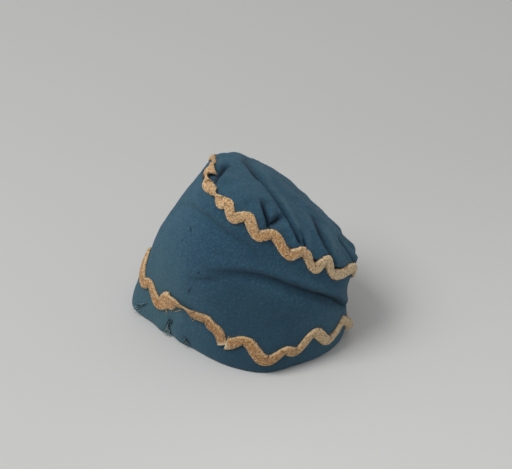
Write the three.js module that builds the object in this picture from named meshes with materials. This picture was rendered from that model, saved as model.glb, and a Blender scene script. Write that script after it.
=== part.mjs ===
// A doll's cap of blue wool cloth that has slumped to one side. A tapering side band, its lower edge
// turned up inside as a hem, carries a puffed and gathered crown that is sewn inside its top edge.
// Waved tan braid covers the crown seam and runs round above the hem.
// Millimetres and degrees. +Z is up and the cap stands on its lower edge. Angles go round the cap
// anticlockwise as seen from above: 0 is the side that the crown slopes down to, 270 the front.

import * as THREE from "three";

// Cloth, and how the pieces meet
const CLOTH_THICKNESS = 1.2;
const HEM_DEPTH = 8;
const HEM_LAYER = 1.1;
const HEM_ROLL = 1.8;
const SEAM_LAP = 4;
const SEAM_GAP = 0.4;
const LAP_GAP = 0.7;

// The oval opening, which lies on the table
const OPENING_LENGTH = 101;
const OPENING_WIDTH = 80;
const OPENING_TURN = -35;

// The crown seam, an oval in a tilted plane above the opening
const SEAM_LENGTH = 82;
const SEAM_WIDTH = 77;
const SEAM_HEIGHT = 54;
const SEAM_LEAN = 18;
const SEAM_BACK = 1;
const SEAM_TILT = 35;
const SEAM_TILT_TOWARD = 14;

// How far the side swells, and how high the crown puffs over its seam. A belly power over 1 lifts the
// fullest height of the side, and a puff power under 1 squares the crown's shoulders.
const BELLY = 4.5;
const BELLY_POWER = 1.3;
const PUFF = 11.5;
const PUFF_POWER = 0.85;
const PUFF_SHIFT = 8;

// Folds, and the small gathers along the crown seam
const FOLD_DEPTH = 3;
const FOLD_WIDTH = 4;
const GATHER_DEPTH = 0.5;
const GATHER_COUNT = 18;
const GATHER_REACH = 0.12;
const PLEAT_START = 1.2;

// Waved braid
const BRAID_WIDTH = 5;
const BRAID_THICKNESS = 1.2;
const BRAID_WAVE = 16;
const BRAID_SWING = 2.2;
const BRAID_HEIGHT = 12;
const BRAID_DROP = 3;
const BRAID_GAP = 0.8;

// Fineness of the surfaces. A row power over 1 sets the band's rows closer towards its top.
const COLUMNS = 72;
const BAND_ROWS = 9;
const BAND_ROW_POWER = 1.5;
const CROWN_ROWS = 12;
const BRAID_STEPS = 4;

const DYE_BLUE = 0x304f61;
const BRAID_TAN = 0xc0935c;

// Shares of the sizes above at angles round the cap: the opening's and the seam's radius, how far
// the side swells, and how high the crown puffs next to the seam.
const ROUND_THE_CAP = [
  { deg: 0, opening: 0.955, seam: 0.95, belly: -0.5, puff: 0.6 },
  { deg: 25, opening: 0.97, seam: 0.875, belly: 0.2, puff: 0.65 },
  { deg: 50, opening: 1, seam: 0.82, belly: 0.8, puff: 0.75 },
  { deg: 75, opening: 1, seam: 0.845, belly: 0.8, puff: 0.9 },
  { deg: 100, opening: 1, seam: 0.88, belly: 0.8, puff: 1 },
  { deg: 130, opening: 1.02, seam: 0.93, belly: 0.7, puff: 1.25 },
  { deg: 155, opening: 1.07, seam: 0.98, belly: 0.8, puff: 1.4 },
  { deg: 172, opening: 1.12, seam: 1.01, belly: 1, puff: 1.4 },
  { deg: 188, opening: 0.98, seam: 1.05, belly: 1.3, puff: 1.3 },
  { deg: 202, opening: 0.89, seam: 1.09, belly: 1.2, puff: 1.2 },
  { deg: 217, opening: 0.91, seam: 1.09, belly: 1, puff: 1.15 },
  { deg: 230, opening: 0.9, seam: 1.05, belly: 0.95, puff: 1.1 },
  { deg: 245, opening: 0.94, seam: 0.97, belly: 0.9, puff: 1 },
  { deg: 262, opening: 1.005, seam: 0.895, belly: 0.8, puff: 1 },
  { deg: 283, opening: 1.055, seam: 0.87, belly: 0.7, puff: 0.9 },
  { deg: 301, opening: 0.985, seam: 0.885, belly: 0.6, puff: 0.7 },
  { deg: 320, opening: 0.985, seam: 0.94, belly: 0.2, puff: 0.5 },
  { deg: 340, opening: 1.01, seam: 0.985, belly: -0.5, puff: 0.4 },
];

// Folds in the side, each a line from point to point. rise is the share of the way up from the lower
// edge to the seam. ridge (or furrow, below 0) and step, a roll over a tuck, are shares of the fold
// depth, and width is a share of the fold width.
const SIDE_FOLDS = [
  [
    { deg: 224, rise: 0.6, ridge: 0, step: 0, width: 1.2 },
    { deg: 236, rise: 0.655, ridge: 0, step: 0.35, width: 1.0 },
    { deg: 248, rise: 0.735, ridge: 0, step: 0.6, width: 0.9 },
    { deg: 262, rise: 0.775, ridge: 0, step: 0.8, width: 0.8 },
    { deg: 280, rise: 0.78, ridge: 0, step: 0.9, width: 0.8 },
    { deg: 296, rise: 0.755, ridge: 0, step: 1, width: 0.8 },
    { deg: 307, rise: 0.73, ridge: 0, step: 1, width: 0.8 },
    { deg: 318, rise: 0.685, ridge: 0, step: 1, width: 0.8 },
    { deg: 330, rise: 0.61, ridge: 0, step: 0.8, width: 0.8 },
    { deg: 343, rise: 0.52, ridge: 0, step: 0.5, width: 0.9 },
    { deg: 362, rise: 0.47, ridge: 0, step: 0.3, width: 1.0 },
    { deg: 385, rise: 0.5, ridge: 0, step: 0, width: 1.2 },
  ],
  [
    { deg: 172, rise: 0.75, ridge: 0, step: 0, width: 0.8 },
    { deg: 188, rise: 0.83, ridge: -0.2, step: 0, width: 0.6 },
    { deg: 216, rise: 0.9, ridge: -0.25, step: 0, width: 0.6 },
    { deg: 246, rise: 0.9, ridge: -0.2, step: 0, width: 0.6 },
    { deg: 264, rise: 0.86, ridge: 0, step: 0, width: 0.8 },
  ],
];

// Folds in the crown, in the same way. reach is 1 at the seam and 0 at the middle of the crown.
const CROWN_FOLDS = [
  [
    { deg: 150, reach: 0.76, ridge: 0, step: 0, width: 1.1 },
    { deg: 172, reach: 0.57, ridge: 0, step: -0.4, width: 1.1 },
    { deg: 194, reach: 0.4, ridge: 0, step: -0.6, width: 1.0 },
    { deg: 214, reach: 0.34, ridge: 0, step: -0.7, width: 1.0 },
    { deg: 233, reach: 0.38, ridge: 0, step: -0.7, width: 1.0 },
    { deg: 249, reach: 0.48, ridge: -0.1, step: -0.8, width: 0.95 },
    { deg: 260, reach: 0.61, ridge: -0.1, step: -0.8, width: 0.9 },
    { deg: 271, reach: 0.78, ridge: -0.1, step: -0.8, width: 0.9 },
    { deg: 279, reach: 0.94, ridge: 0, step: -0.4, width: 0.8 },
  ],
  [
    { deg: 234, reach: 0.68, ridge: 0, step: 0, width: 0.8 },
    { deg: 243, reach: 0.82, ridge: -0.3, step: -0.2, width: 0.7 },
    { deg: 251, reach: 0.95, ridge: -0.3, step: -0.2, width: 0.7 },
    { deg: 256, reach: 0.78, ridge: -0.2, step: 0, width: 0.8 },
  ],
  [
    { deg: 338, reach: 0.36, ridge: 0, step: 0, width: 0.9 },
    { deg: 323, reach: 0.54, ridge: -0.2, step: -0.4, width: 0.8 },
    { deg: 315, reach: 0.7, ridge: -0.3, step: -0.6, width: 0.8 },
    { deg: 314, reach: 0.84, ridge: -0.3, step: -0.6, width: 0.8 },
    { deg: 318, reach: 0.97, ridge: -0.2, step: -0.2, width: 0.8 },
  ],
  [
    { deg: 349, reach: 0.72, ridge: 0, step: 0, width: 0.8 },
    { deg: 346, reach: 0.86, ridge: -0.5, step: 0, width: 0.7 },
    { deg: 343, reach: 0.98, ridge: -0.2, step: 0, width: 0.6 },
  ],
  [
    { deg: 146, reach: 0.55, ridge: 0, step: 0, width: 1.6 },
    { deg: 140, reach: 0.25, ridge: 0.35, step: 0, width: 1.6 },
    { deg: 20, reach: 0.12, ridge: 0.35, step: 0, width: 1.6 },
    { deg: 352, reach: 0.31, ridge: 0.35, step: 0, width: 1.6 },
    { deg: 336, reach: 0.44, ridge: 0, step: 0, width: 1.6 },
  ],
];

// Where the upper braid turns between its waves on the front: how far above the seam, or below it,
// as shares of the swing.
const UPPER_TURNS = [
  { deg: 190, swing: 1.8 },
  { deg: 205, swing: 0.4 },
  { deg: 212.5, swing: 0.9 },
  { deg: 220, swing: 0.3 },
  { deg: 224, swing: 1.1 },
  { deg: 231.5, swing: -0.4 },
  { deg: 238.5, swing: 1.45 },
  { deg: 249, swing: -0.4 },
  { deg: 258.5, swing: 1.3 },
  { deg: 274, swing: -0.8 },
  { deg: 284, swing: 1.15 },
  { deg: 296, swing: -1.2 },
  { deg: 305, swing: 1.05 },
  { deg: 314, swing: -1.1 },
  { deg: 335, swing: 0.5 },
  { deg: 346, swing: -0.8 },
];

// The same for the lower braid, which starts and ends at its join at the front left, with heights
// up the side as shares of the braid height.
const LOWER_TURNS = [
  { deg: 255.5, height: 1.1 },
  { deg: 265, height: 1.43 },
  { deg: 281, height: 0.69 },
  { deg: 289.5, height: 1.04 },
  { deg: 296, height: 0.87 },
  { deg: 304.5, height: 1.54 },
  { deg: 318.5, height: 0.82 },
  { deg: 330.5, height: 1.19 },
  { deg: 341, height: 0.45 },
  { deg: 352, height: 0.6 },
  { deg: 363, height: 0.35 },
];
const LOWER_TURNS_END = [
  { deg: 158, height: 1.5 },
  { deg: 168, height: 2.2 },
  { deg: 179, height: 1.52 },
  { deg: 184, height: 1.7 },
  { deg: 194, height: 1.17 },
  { deg: 204, height: 2 },
  { deg: 211.5, height: 1.82 },
  { deg: 219, height: 1.87 },
  { deg: 228, height: 1.77 },
  { deg: 236.5, height: 1.84 },
  { deg: 245, height: 1.56 },
  { deg: 252.6, height: 0.98 },
];

const FULL_TURN = 360;
const QUARTER_TURN = 90;
const radians = THREE.MathUtils.degToRad;
const lerp = THREE.MathUtils.lerp;
const vector = (x, y, z) => new THREE.Vector3(x, y, z);
const outward = (deg) => vector(Math.cos(radians(deg)), Math.sin(radians(deg)), 0);

/** Reads a column of ROUND_THE_CAP at any angle, on a smooth closed curve through its rows. */
function round(column, deg) {
  const rows = ROUND_THE_CAP;
  const at = THREE.MathUtils.euclideanModulo(deg, FULL_TURN);
  const row = (i) => {
    const turns = Math.floor(i / rows.length);
    const found = rows[i - turns * rows.length];
    return { deg: found.deg + turns * FULL_TURN, value: found[column] };
  };
  let i = 0;
  while (row(i + 1).deg <= at) i += 1;
  const [before, start, end, after] = [row(i - 1), row(i), row(i + 1), row(i + 2)];
  const span = end.deg - start.deg;
  const t = (at - start.deg) / span;
  const slopeStart = ((end.value - before.value) / (end.deg - before.deg)) * span;
  const slopeEnd = ((after.value - start.value) / (after.deg - start.deg)) * span;
  return (
    (2 * t ** 3 - 3 * t ** 2 + 1) * start.value +
    (t ** 3 - 2 * t ** 2 + t) * slopeStart +
    (3 * t ** 2 - 2 * t ** 3) * end.value +
    (t ** 3 - t ** 2) * slopeEnd
  );
}

const tiltWay = outward(SEAM_TILT_TOWARD);
const tilt = radians(SEAM_TILT);
const crownUp = vector(0, 0, Math.cos(tilt)).addScaledVector(tiltWay, Math.sin(tilt));
const downhill = vector(0, 0, -Math.sin(tilt)).addScaledVector(tiltWay, Math.cos(tilt));
const acrossSlope = crownUp.clone().cross(downhill);
const seamCentre = vector(SEAM_LEAN, SEAM_BACK, SEAM_HEIGHT);

/** A point of the lower edge. */
function openingPoint(deg) {
  const along = Math.cos(radians(deg - OPENING_TURN)) / (OPENING_LENGTH / 2);
  const across = Math.sin(radians(deg - OPENING_TURN)) / (OPENING_WIDTH / 2);
  return outward(deg).multiplyScalar(round("opening", deg) / Math.hypot(along, across));
}

/** A point of the crown seam. */
function seamPoint(deg) {
  const turn = radians(deg - SEAM_TILT_TOWARD);
  return seamCentre
    .clone()
    .addScaledVector(downhill, (SEAM_LENGTH / 2) * Math.cos(turn) * round("seam", deg))
    .addScaledVector(acrossSlope, (SEAM_WIDTH / 2) * Math.sin(turn) * round("seam", deg));
}

/** How far up the hem a level of the side is, as a share of the hem's depth. */
const hemShare = (deg, level) => (level * seamPoint(deg).z) / HEM_DEPTH;

/** The unfolded side: level 0 is the lower edge and 1 the seam. */
function sidePoint(deg, level) {
  const swell = BELLY * round("belly", deg) * Math.sin(Math.PI * level ** BELLY_POWER);
  const roll = HEM_ROLL * Math.max(0, 1 - hemShare(deg, level)) ** 2;
  return openingPoint(deg).lerp(seamPoint(deg), level).addScaledVector(outward(deg), swell - roll);
}

/** How far out from the crown's middle a level of the crown is: 1 at the seam and 0 in the middle. */
const crownReach = (level) => Math.cos(radians((level - 1) * QUARTER_TURN)) ** PUFF_POWER;

/** The unfolded crown: level 1 is the seam and 2 the middle of the crown. */
function crownPoint(deg, level) {
  const arch = Math.sin(radians((level - 1) * QUARTER_TURN)) ** PUFF_POWER;
  const height = PUFF * arch * lerp(round("puff", deg), 1, level - 1);
  const middle = seamCentre.clone().addScaledVector(downhill, -PUFF_SHIFT);
  return middle.lerp(seamPoint(deg), crownReach(level)).addScaledVector(crownUp, height);
}

const unfolded = (deg, level) => (level <= 1 ? sidePoint(deg, level) : crownPoint(deg, Math.min(level, 2)));

/** The direction out of the unfolded cloth. It turns level at the lower edge, so that this stands flat. */
function outOfCloth(deg, level) {
  const degStep = 1;
  const levelStep = 0.02;
  if (level > 2 - levelStep) return crownUp.clone();
  const along = unfolded(deg + degStep, level).sub(unfolded(deg - degStep, level));
  const up = unfolded(deg, level + levelStep).sub(unfolded(deg, Math.max(0, level - levelStep)));
  const normal = along.cross(up).normalize();
  normal.z *= THREE.MathUtils.smoothstep(hemShare(deg, level), 0, 1);
  return normal.normalize();
}

/** How far one fold moves the cloth out at a point of the flat chart that its rows are laid out on. */
function foldHeight(rows, chart, point) {
  let nearest = { distance: Infinity };
  for (let i = 0; i + 1 < rows.length; i += 1) {
    const start = chart(rows[i]);
    const line = chart(rows[i + 1]).sub(start);
    const offset = point.clone().sub(start);
    const t = THREE.MathUtils.clamp(offset.dot(line) / line.lengthSq(), 0, 1);
    const distance = offset.clone().addScaledVector(line, -t).length();
    if (distance >= nearest.distance) continue;
    const blend = (column) => lerp(rows[i][column], rows[i + 1][column], t);
    const side = Math.sign(line.cross(offset));
    const away = distance / (blend("width") * FOLD_WIDTH);
    nearest = { distance, away, ridge: blend("ridge"), step: side * blend("step") };
  }
  const { away, ridge, step } = nearest;
  return FOLD_DEPTH * Math.exp(-away * away) * (ridge + step * away * Math.SQRT2);
}

const openingRadius = (OPENING_LENGTH + OPENING_WIDTH) / 4;
const sideChart = ({ deg, rise }) => new THREE.Vector2(radians(deg) * openingRadius, rise * seamPoint(deg).z);
const crownChart = ({ deg, reach }) =>
  new THREE.Vector2(Math.cos(radians(deg)), Math.sin(radians(deg))).multiplyScalar((reach * SEAM_LENGTH) / 2);

const total = (values) => values.reduce((sum, value) => sum + value, 0);

/** How far the folds and gathers move the cloth out of its unfolded shape. */
function folding(deg, level) {
  if (level <= 1) {
    const turns = [deg - FULL_TURN, deg, deg + FULL_TURN];
    const points = turns.map((turned) => sideChart({ deg: turned, rise: level }));
    return total(SIDE_FOLDS.flatMap((rows) => points.map((point) => foldHeight(rows, sideChart, point))));
  }
  const reach = crownReach(level);
  const point = crownChart({ deg, reach });
  const pleats = total(CROWN_FOLDS.map((rows) => foldHeight(rows, crownChart, point)));
  const inward = (1 - reach) / GATHER_REACH;
  const gathers = GATHER_DEPTH * Math.sin(radians(GATHER_COUNT * deg)) * inward * Math.exp(1 - inward);
  return pleats * THREE.MathUtils.smoothstep(level, 1, PLEAT_START) + gathers;
}

/** A point at a height above the outer face of the folded cloth, or below it if the height is under 0. */
function onCloth(deg, level, height = 0) {
  return unfolded(deg, level).addScaledVector(outOfCloth(deg, level), folding(deg, level) + height);
}

/** A closed solid skinned over closed rings of points; a ring of one point closes an end. */
function skinned(rings, closed) {
  const positions = [];
  const starts = rings.map((ring) => {
    const start = positions.length / 3;
    ring.forEach((p) => positions.push(p.x, p.y, p.z));
    return start;
  });
  const index = [];
  const last = closed ? rings.length : rings.length - 1;
  for (let r = 0; r < last; r += 1) {
    const [a, b] = [r, (r + 1) % rings.length];
    const count = Math.max(rings[a].length, rings[b].length);
    for (let c = 0; c < count; c += 1) {
      const at = (ring, column) => starts[ring] + (column % rings[ring].length);
      const [a0, a1, b0, b1] = [at(a, c), at(a, c + 1), at(b, c), at(b, c + 1)];
      if (a0 !== a1) index.push(a0, a1, b1);
      if (b0 !== b1) index.push(a0, b1, b0);
    }
  }
  const geometry = new THREE.BufferGeometry();
  geometry.setAttribute("position", new THREE.Float32BufferAttribute(positions, 3));
  geometry.setIndex(index);
  geometry.computeVertexNormals();
  return geometry;
}

/** The level reached from another one by going up the cloth by a length, or down if it is under 0. */
function climb(deg, level, length) {
  const steps = 8;
  const probe = 0.004 * Math.sign(length);
  let at = level;
  for (let i = 0; i < steps; i += 1) {
    const lengthPerLevel = unfolded(deg, at + probe).distanceTo(unfolded(deg, at)) / Math.abs(probe);
    at += length / steps / lengthPerLevel;
  }
  return at;
}

const columnAngles = Array.from({ length: COLUMNS }, (_, c) => (c * FULL_TURN) / COLUMNS);
const ring = (levelAt, height) => columnAngles.map((deg) => onCloth(deg, levelAt(deg), height));

const hemTop = (deg) => climb(deg, 0, HEM_DEPTH);
const lapFoot = (deg) => climb(deg, 1, -SEAM_LAP);
const bandTop = (deg) => climb(deg, 1, -SEAM_GAP / 2);
const crownEdge = (deg) => climb(deg, 1, SEAM_GAP / 2);

/** The side band: up its outer face, over its top edge and down inside, with the hem's second layer. */
function makeSideBand() {
  const hemRows = [() => 0, (deg) => hemTop(deg) / 2, hemTop];
  const sideRows = Array.from({ length: BAND_ROWS }, (_, r) => (deg) =>
    lerp(hemTop(deg), lapFoot(deg), 1 - (1 - (r + 1) / BAND_ROWS) ** BAND_ROW_POWER),
  );
  const upperRows = [...sideRows, bandTop];
  const outer = [...hemRows, ...upperRows].map((row) => ring(row, 0));
  const inner = upperRows.map((row) => ring(row, -CLOTH_THICKNESS));
  const hem = hemRows.map((row) => ring(row, -CLOTH_THICKNESS - HEM_LAYER));
  return skinned([...outer, ...inner.reverse(), ...hem.reverse()], true);
}

/** The crown: over its outer face to the seam, and down inside the band by the seam lap. */
function makeCrown() {
  const lapOuter = -CLOTH_THICKNESS - LAP_GAP;
  const rows = Array.from({ length: CROWN_ROWS }, (_, r) => (deg) => lerp(crownEdge(deg), 2, r / CROWN_ROWS));
  const outer = rows.map((row) => ring(row, 0));
  const inner = rows.map((row, r) => ring(row, -CLOTH_THICKNESS + lapOuter * Math.max(0, 1 - r / 2)));
  const lap = [ring(lapFoot, lapOuter - CLOTH_THICKNESS), ring(lapFoot, lapOuter), ring(crownEdge, lapOuter)];
  const [innerMiddle, outerMiddle] = [[onCloth(0, 2, -CLOTH_THICKNESS)], [onCloth(0, 2)]];
  return skinned([innerMiddle, ...inner.reverse(), ...lap, ...outer, outerMiddle], false);
}

/** The lift of a braid's middle at an angle, on smooth waves from each turning point to the next. */
function waveLift(turns, deg) {
  const i = Math.max(1, turns.findIndex((turn) => turn.deg >= deg));
  const t = THREE.MathUtils.inverseLerp(turns[i - 1].deg, turns[i].deg, deg);
  return lerp(turns[i - 1].lift, turns[i].lift, (1 - Math.cos(Math.PI * t)) / 2);
}

/** The outline of a braid's cross-section at an angle, square to its middle line. */
function braidSection(turns, baseLevel, deg) {
  const wave = (at) => waveLift(turns, THREE.MathUtils.clamp(at, turns[0].deg, turns[turns.length - 1].deg));
  const level = climb(deg, baseLevel, wave(deg));
  const perDegree = unfolded(deg + 1, level).distanceTo(unfolded(deg, level));
  const lean = Math.atan((wave(deg + 0.5) - wave(deg - 0.5)) / perDegree);
  const corner = (side, height) => {
    const aside = (side * BRAID_WIDTH) / 2;
    const cornerDeg = deg - (aside * Math.sin(lean)) / perDegree;
    return onCloth(cornerDeg, climb(cornerDeg, baseLevel, wave(deg) + aside * Math.cos(lean)), height);
  };
  const under = [-1, 0, 1].map((side) => corner(side, BRAID_GAP));
  const over = [1, 0, -1].map((side) => corner(side, BRAID_GAP + BRAID_THICKNESS));
  return [...under, ...over];
}

/** A braid's cross-sections from its first turning point to its last, both included. */
function braidSections(turns, baseLevel) {
  const between = turns.slice(1).flatMap((turn, i) =>
    Array.from({ length: BRAID_STEPS }, (_, step) => lerp(turns[i].deg, turn.deg, (step + 1) / BRAID_STEPS)),
  );
  return [turns[0].deg, ...between].map((deg) => braidSection(turns, baseLevel, deg));
}

/** Turning points of even waves between two others. height is what the waves swing about at each. */
function evenWaves(from, to) {
  const count = 2 * Math.round((radians(to.deg - from.deg) * openingRadius) / BRAID_WAVE) - 1;
  return Array.from({ length: count }, (_, i) => {
    const t = (i + 1) / (count + 1);
    const swing = i % 2 ? -BRAID_SWING : BRAID_SWING;
    return { deg: lerp(from.deg, to.deg, t), lift: lerp(from.height, to.height, t) + swing };
  });
}

/** The upper braid: a closed loop that swings about the crown seam, and sits lower on its far side. */
function makeUpperBraid() {
  const front = UPPER_TURNS.map(({ deg, swing }) => ({ deg, lift: swing * BRAID_SWING }));
  const [first, last] = [front[0], front[front.length - 1]];
  const closing = { deg: first.deg + FULL_TURN, lift: first.lift };
  const back = evenWaves({ deg: last.deg, height: -BRAID_DROP }, { deg: closing.deg, height: 0 });
  return skinned(braidSections([...front, ...back, closing], 1).slice(1), true);
}

/** The lower braid: one length round the side, cut at both ends, which nearly meet at the front left. */
function makeLowerBraid() {
  const turning = ({ deg, height }, turned) => ({ deg: deg + turned, lift: height * BRAID_HEIGHT });
  const start = LOWER_TURNS.map((row) => turning(row, 0));
  const end = LOWER_TURNS_END.map((row) => turning(row, FULL_TURN));
  const back = evenWaves(
    { deg: start[start.length - 1].deg, height: start[start.length - 1].lift + BRAID_SWING },
    { deg: end[0].deg, height: end[0].lift + BRAID_SWING },
  );
  const sections = braidSections([...start, ...back, ...end], 0);
  const middle = (section) =>
    section.reduce((sum, point) => sum.add(point), vector(0, 0, 0)).divideScalar(section.length);
  return skinned([[middle(sections[0])], ...sections, [middle(sections[sections.length - 1])]], false);
}

const cap = new THREE.Group();
for (const [name, geometry, color] of [
  ["side_band", makeSideBand(), DYE_BLUE],
  ["crown", makeCrown(), DYE_BLUE],
  ["upper_braid", makeUpperBraid(), BRAID_TAN],
  ["lower_braid", makeLowerBraid(), BRAID_TAN],
]) {
  const cloth = new THREE.MeshStandardMaterial({ color, roughness: 0.95, metalness: 0 });
  const mesh = new THREE.Mesh(geometry, cloth);
  mesh.name = name;
  cap.add(mesh);
}

// The origin is on the table, under the middle of the whole cap.
const box = new THREE.Box3().setFromObject(cap);
cap.position.set(-(box.min.x + box.max.x) / 2, -(box.min.y + box.max.y) / 2, -box.min.z);

export default cap;
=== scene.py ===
"""Looks of a doll's cap of faded blue wool cloth that has slumped to one side, trimmed with waved tan braid.

The cloth is one folded surface, worked out by angle round the cap and by level up it: 0 is the lower edge,
1 the crown seam and 2 the middle of the crown. Every piece is laid on that surface, so it stands where the
solid that it replaces is. Sizes are in millimetres. Angles go anticlockwise from above: 0 is the side that
the crown slopes down to, 270 the front.
"""

from __future__ import annotations

import logging
import math
from dataclasses import dataclass, field
from enum import Enum
from typing import Callable

import bmesh
import bpy
import numpy as np
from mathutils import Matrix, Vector

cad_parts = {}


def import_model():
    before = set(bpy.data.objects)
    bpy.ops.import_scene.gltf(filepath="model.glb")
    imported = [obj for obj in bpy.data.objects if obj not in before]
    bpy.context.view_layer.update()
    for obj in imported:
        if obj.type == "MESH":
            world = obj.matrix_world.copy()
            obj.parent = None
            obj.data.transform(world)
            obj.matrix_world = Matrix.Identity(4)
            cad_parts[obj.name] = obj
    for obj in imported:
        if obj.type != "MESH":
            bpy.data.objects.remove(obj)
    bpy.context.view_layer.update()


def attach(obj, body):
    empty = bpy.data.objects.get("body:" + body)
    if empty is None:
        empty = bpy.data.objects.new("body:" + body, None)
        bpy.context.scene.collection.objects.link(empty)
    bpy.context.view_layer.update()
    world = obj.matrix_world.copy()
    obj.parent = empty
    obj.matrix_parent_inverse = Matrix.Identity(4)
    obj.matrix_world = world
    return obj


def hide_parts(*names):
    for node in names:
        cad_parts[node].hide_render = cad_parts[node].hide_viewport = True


LOG = logging.getLogger("doll_cap")
Array = np.ndarray
Colour = tuple[int, int, int]
Place = Callable[[Array, Array], Array]
Socket = bpy.types.NodeSocket
Piece = bpy.types.Object

MM = 0.001
FULL_TURN = 360.0

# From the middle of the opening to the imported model's origin
ORIGIN = np.array([-0.84, 0.93, 0.0])

UPRIGHT = np.array([0.0, 0.0, 1.0])

# Cloth, and how the pieces meet
CLOTH_THICKNESS = 1.2
HEM_DEPTH = 8.0
HEM_LAYER = 1.1
HEM_ROLL = 1.8
SEAM_LAP = 4.0
LAP_GAP = 0.7

# The oval opening, and the crown seam in its tilted plane
OPENING_LENGTH = 101.0
OPENING_WIDTH = 80.0
OPENING_TURN = -35.0
SEAM_LENGTH = 82.0
SEAM_WIDTH = 77.0
SEAM_CENTRE = np.array([18.0, 1.0, 54.0])
SEAM_TILT = 35.0
SEAM_TILT_TOWARD = 14.0

# How the cloth swells, folds and gathers
BELLY = 4.5
BELLY_POWER = 1.3
PUFF = 11.5
PUFF_POWER = 0.85
PUFF_SHIFT = 8.0
FOLD_DEPTH = 3.0
FOLD_WIDTH = 4.0
PLEAT_START = 1.2

# The torn flap of the lower edge that stands out a little
FLAP_DEG = 198.5
FLAP_SPREAD = 6.5
FLAP_OUT = 2.0
FLAP_HEIGHT = 9.0

# Waved braid
BRAID_WIDTH = 5.0
BRAID_THICKNESS = 1.4
BRAID_WAVE = 16.0
BRAID_SWING = 2.2
BRAID_HEIGHT = 12.0
BRAID_DROP = 3.0


def table(columns: str, *rows: tuple[float, ...]) -> dict[str, Array]:
    """Puts rows of numbers under named columns.

    Args:
        columns: The columns' names, with spaces between them.
        rows: One tuple of numbers for each row.

    Returns:
        Each column's numbers under its name.
    """
    return dict(zip(columns.split(), np.array(rows, float).T))


# Shares of the sizes above, round the cap
ROUND_THE_CAP = table(
    "deg opening seam belly puff",
    (0, 0.955, 0.95, -0.5, 0.6),
    (25, 0.97, 0.875, 0.2, 0.65),
    (50, 1, 0.82, 0.8, 0.75),
    (75, 1, 0.845, 0.8, 0.9),
    (100, 1, 0.88, 0.8, 1),
    (130, 1.02, 0.93, 0.7, 1.25),
    (155, 1.07, 0.98, 0.8, 1.4),
    (172, 1.12, 1.01, 1, 1.4),
    (188, 0.98, 1.05, 1.3, 1.3),
    (202, 0.89, 1.09, 1.2, 1.2),
    (217, 0.91, 1.09, 1, 1.15),
    (230, 0.9, 1.05, 0.95, 1.1),
    (245, 0.94, 0.97, 0.9, 1),
    (262, 1.005, 0.895, 0.8, 1),
    (283, 1.055, 0.87, 0.7, 0.9),
    (301, 0.985, 0.885, 0.6, 0.7),
    (320, 0.985, 0.94, 0.2, 0.5),
    (340, 1.01, 0.985, -0.5, 0.4),
)

# Folds in the side and in the crown, each a line from point to point. rise is the share of the way up the
# side, and reach the share of the way out across the crown. ridge, step and pinch are shares of the fold
# depth: a soft ridge or furrow, a roll over a tuck, and a sharp crease. width is a share of the fold width.
SIDE_FOLDS = (
    table(
        "deg rise ridge step pinch width",
        (224, 0.6, 0, 0, 0, 1.4),
        (233, 0.64, 0, 0.3, 0.1, 1.2),
        (241, 0.69, 0, 0.6, 0.25, 1.0),
        (249, 0.735, 0, 0.8, 0.35, 0.9),
        (258, 0.765, 0, 0.9, 0.45, 0.8),
        (270, 0.78, 0, 1.0, 0.55, 0.75),
        (284, 0.775, 0, 1.1, 0.65, 0.7),
        (296, 0.755, 0, 1.2, 0.8, 0.65),
        (306, 0.735, 0, 1.2, 0.9, 0.6),
        (318, 0.685, 0, 1.2, 0.9, 0.6),
        (329, 0.59, 0, 0.75, 0.9, 0.6),
        (342, 0.43, 0, 0.3, 0.5, 0.6),
        (354, 0.36, 0, 0, 0, 1.0),
    ),
    table(
        "deg rise ridge step pinch width",
        (334, 0.46, 0, 0, 0, 2.0),
        (346, 0.43, 0.45, 0, 0, 2.2),
        (362, 0.4, 0.5, 0, 0, 2.2),
        (385, 0.4, 0, 0, 0, 2.2),
    ),
    table(
        "deg rise ridge step pinch width",
        (172, 0.75, 0, 0, 0, 0.8),
        (184, 0.81, -0.2, 0.2, 0.1, 0.6),
        (202, 0.873, -0.2, 0.3, 0.15, 0.55),
        (217, 0.898, -0.2, 0.4, 0.2, 0.55),
        (237, 0.897, -0.2, 0.4, 0.18, 0.55),
        (248, 0.9, -0.15, 0.3, 0.12, 0.55),
        (262, 0.87, 0, 0.1, 0, 0.7),
        (270, 0.85, 0, 0, 0, 0.8),
    ),
    table(
        "deg rise ridge step pinch width",
        (212, 0.5, 0, 0, 0, 1.0),
        (222, 0.515, -0.1, 0.2, 0.1, 0.6),
        (232, 0.58, -0.1, 0.3, 0.1, 0.6),
        (240, 0.6, 0, 0, 0, 0.8),
    ),
)
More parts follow.
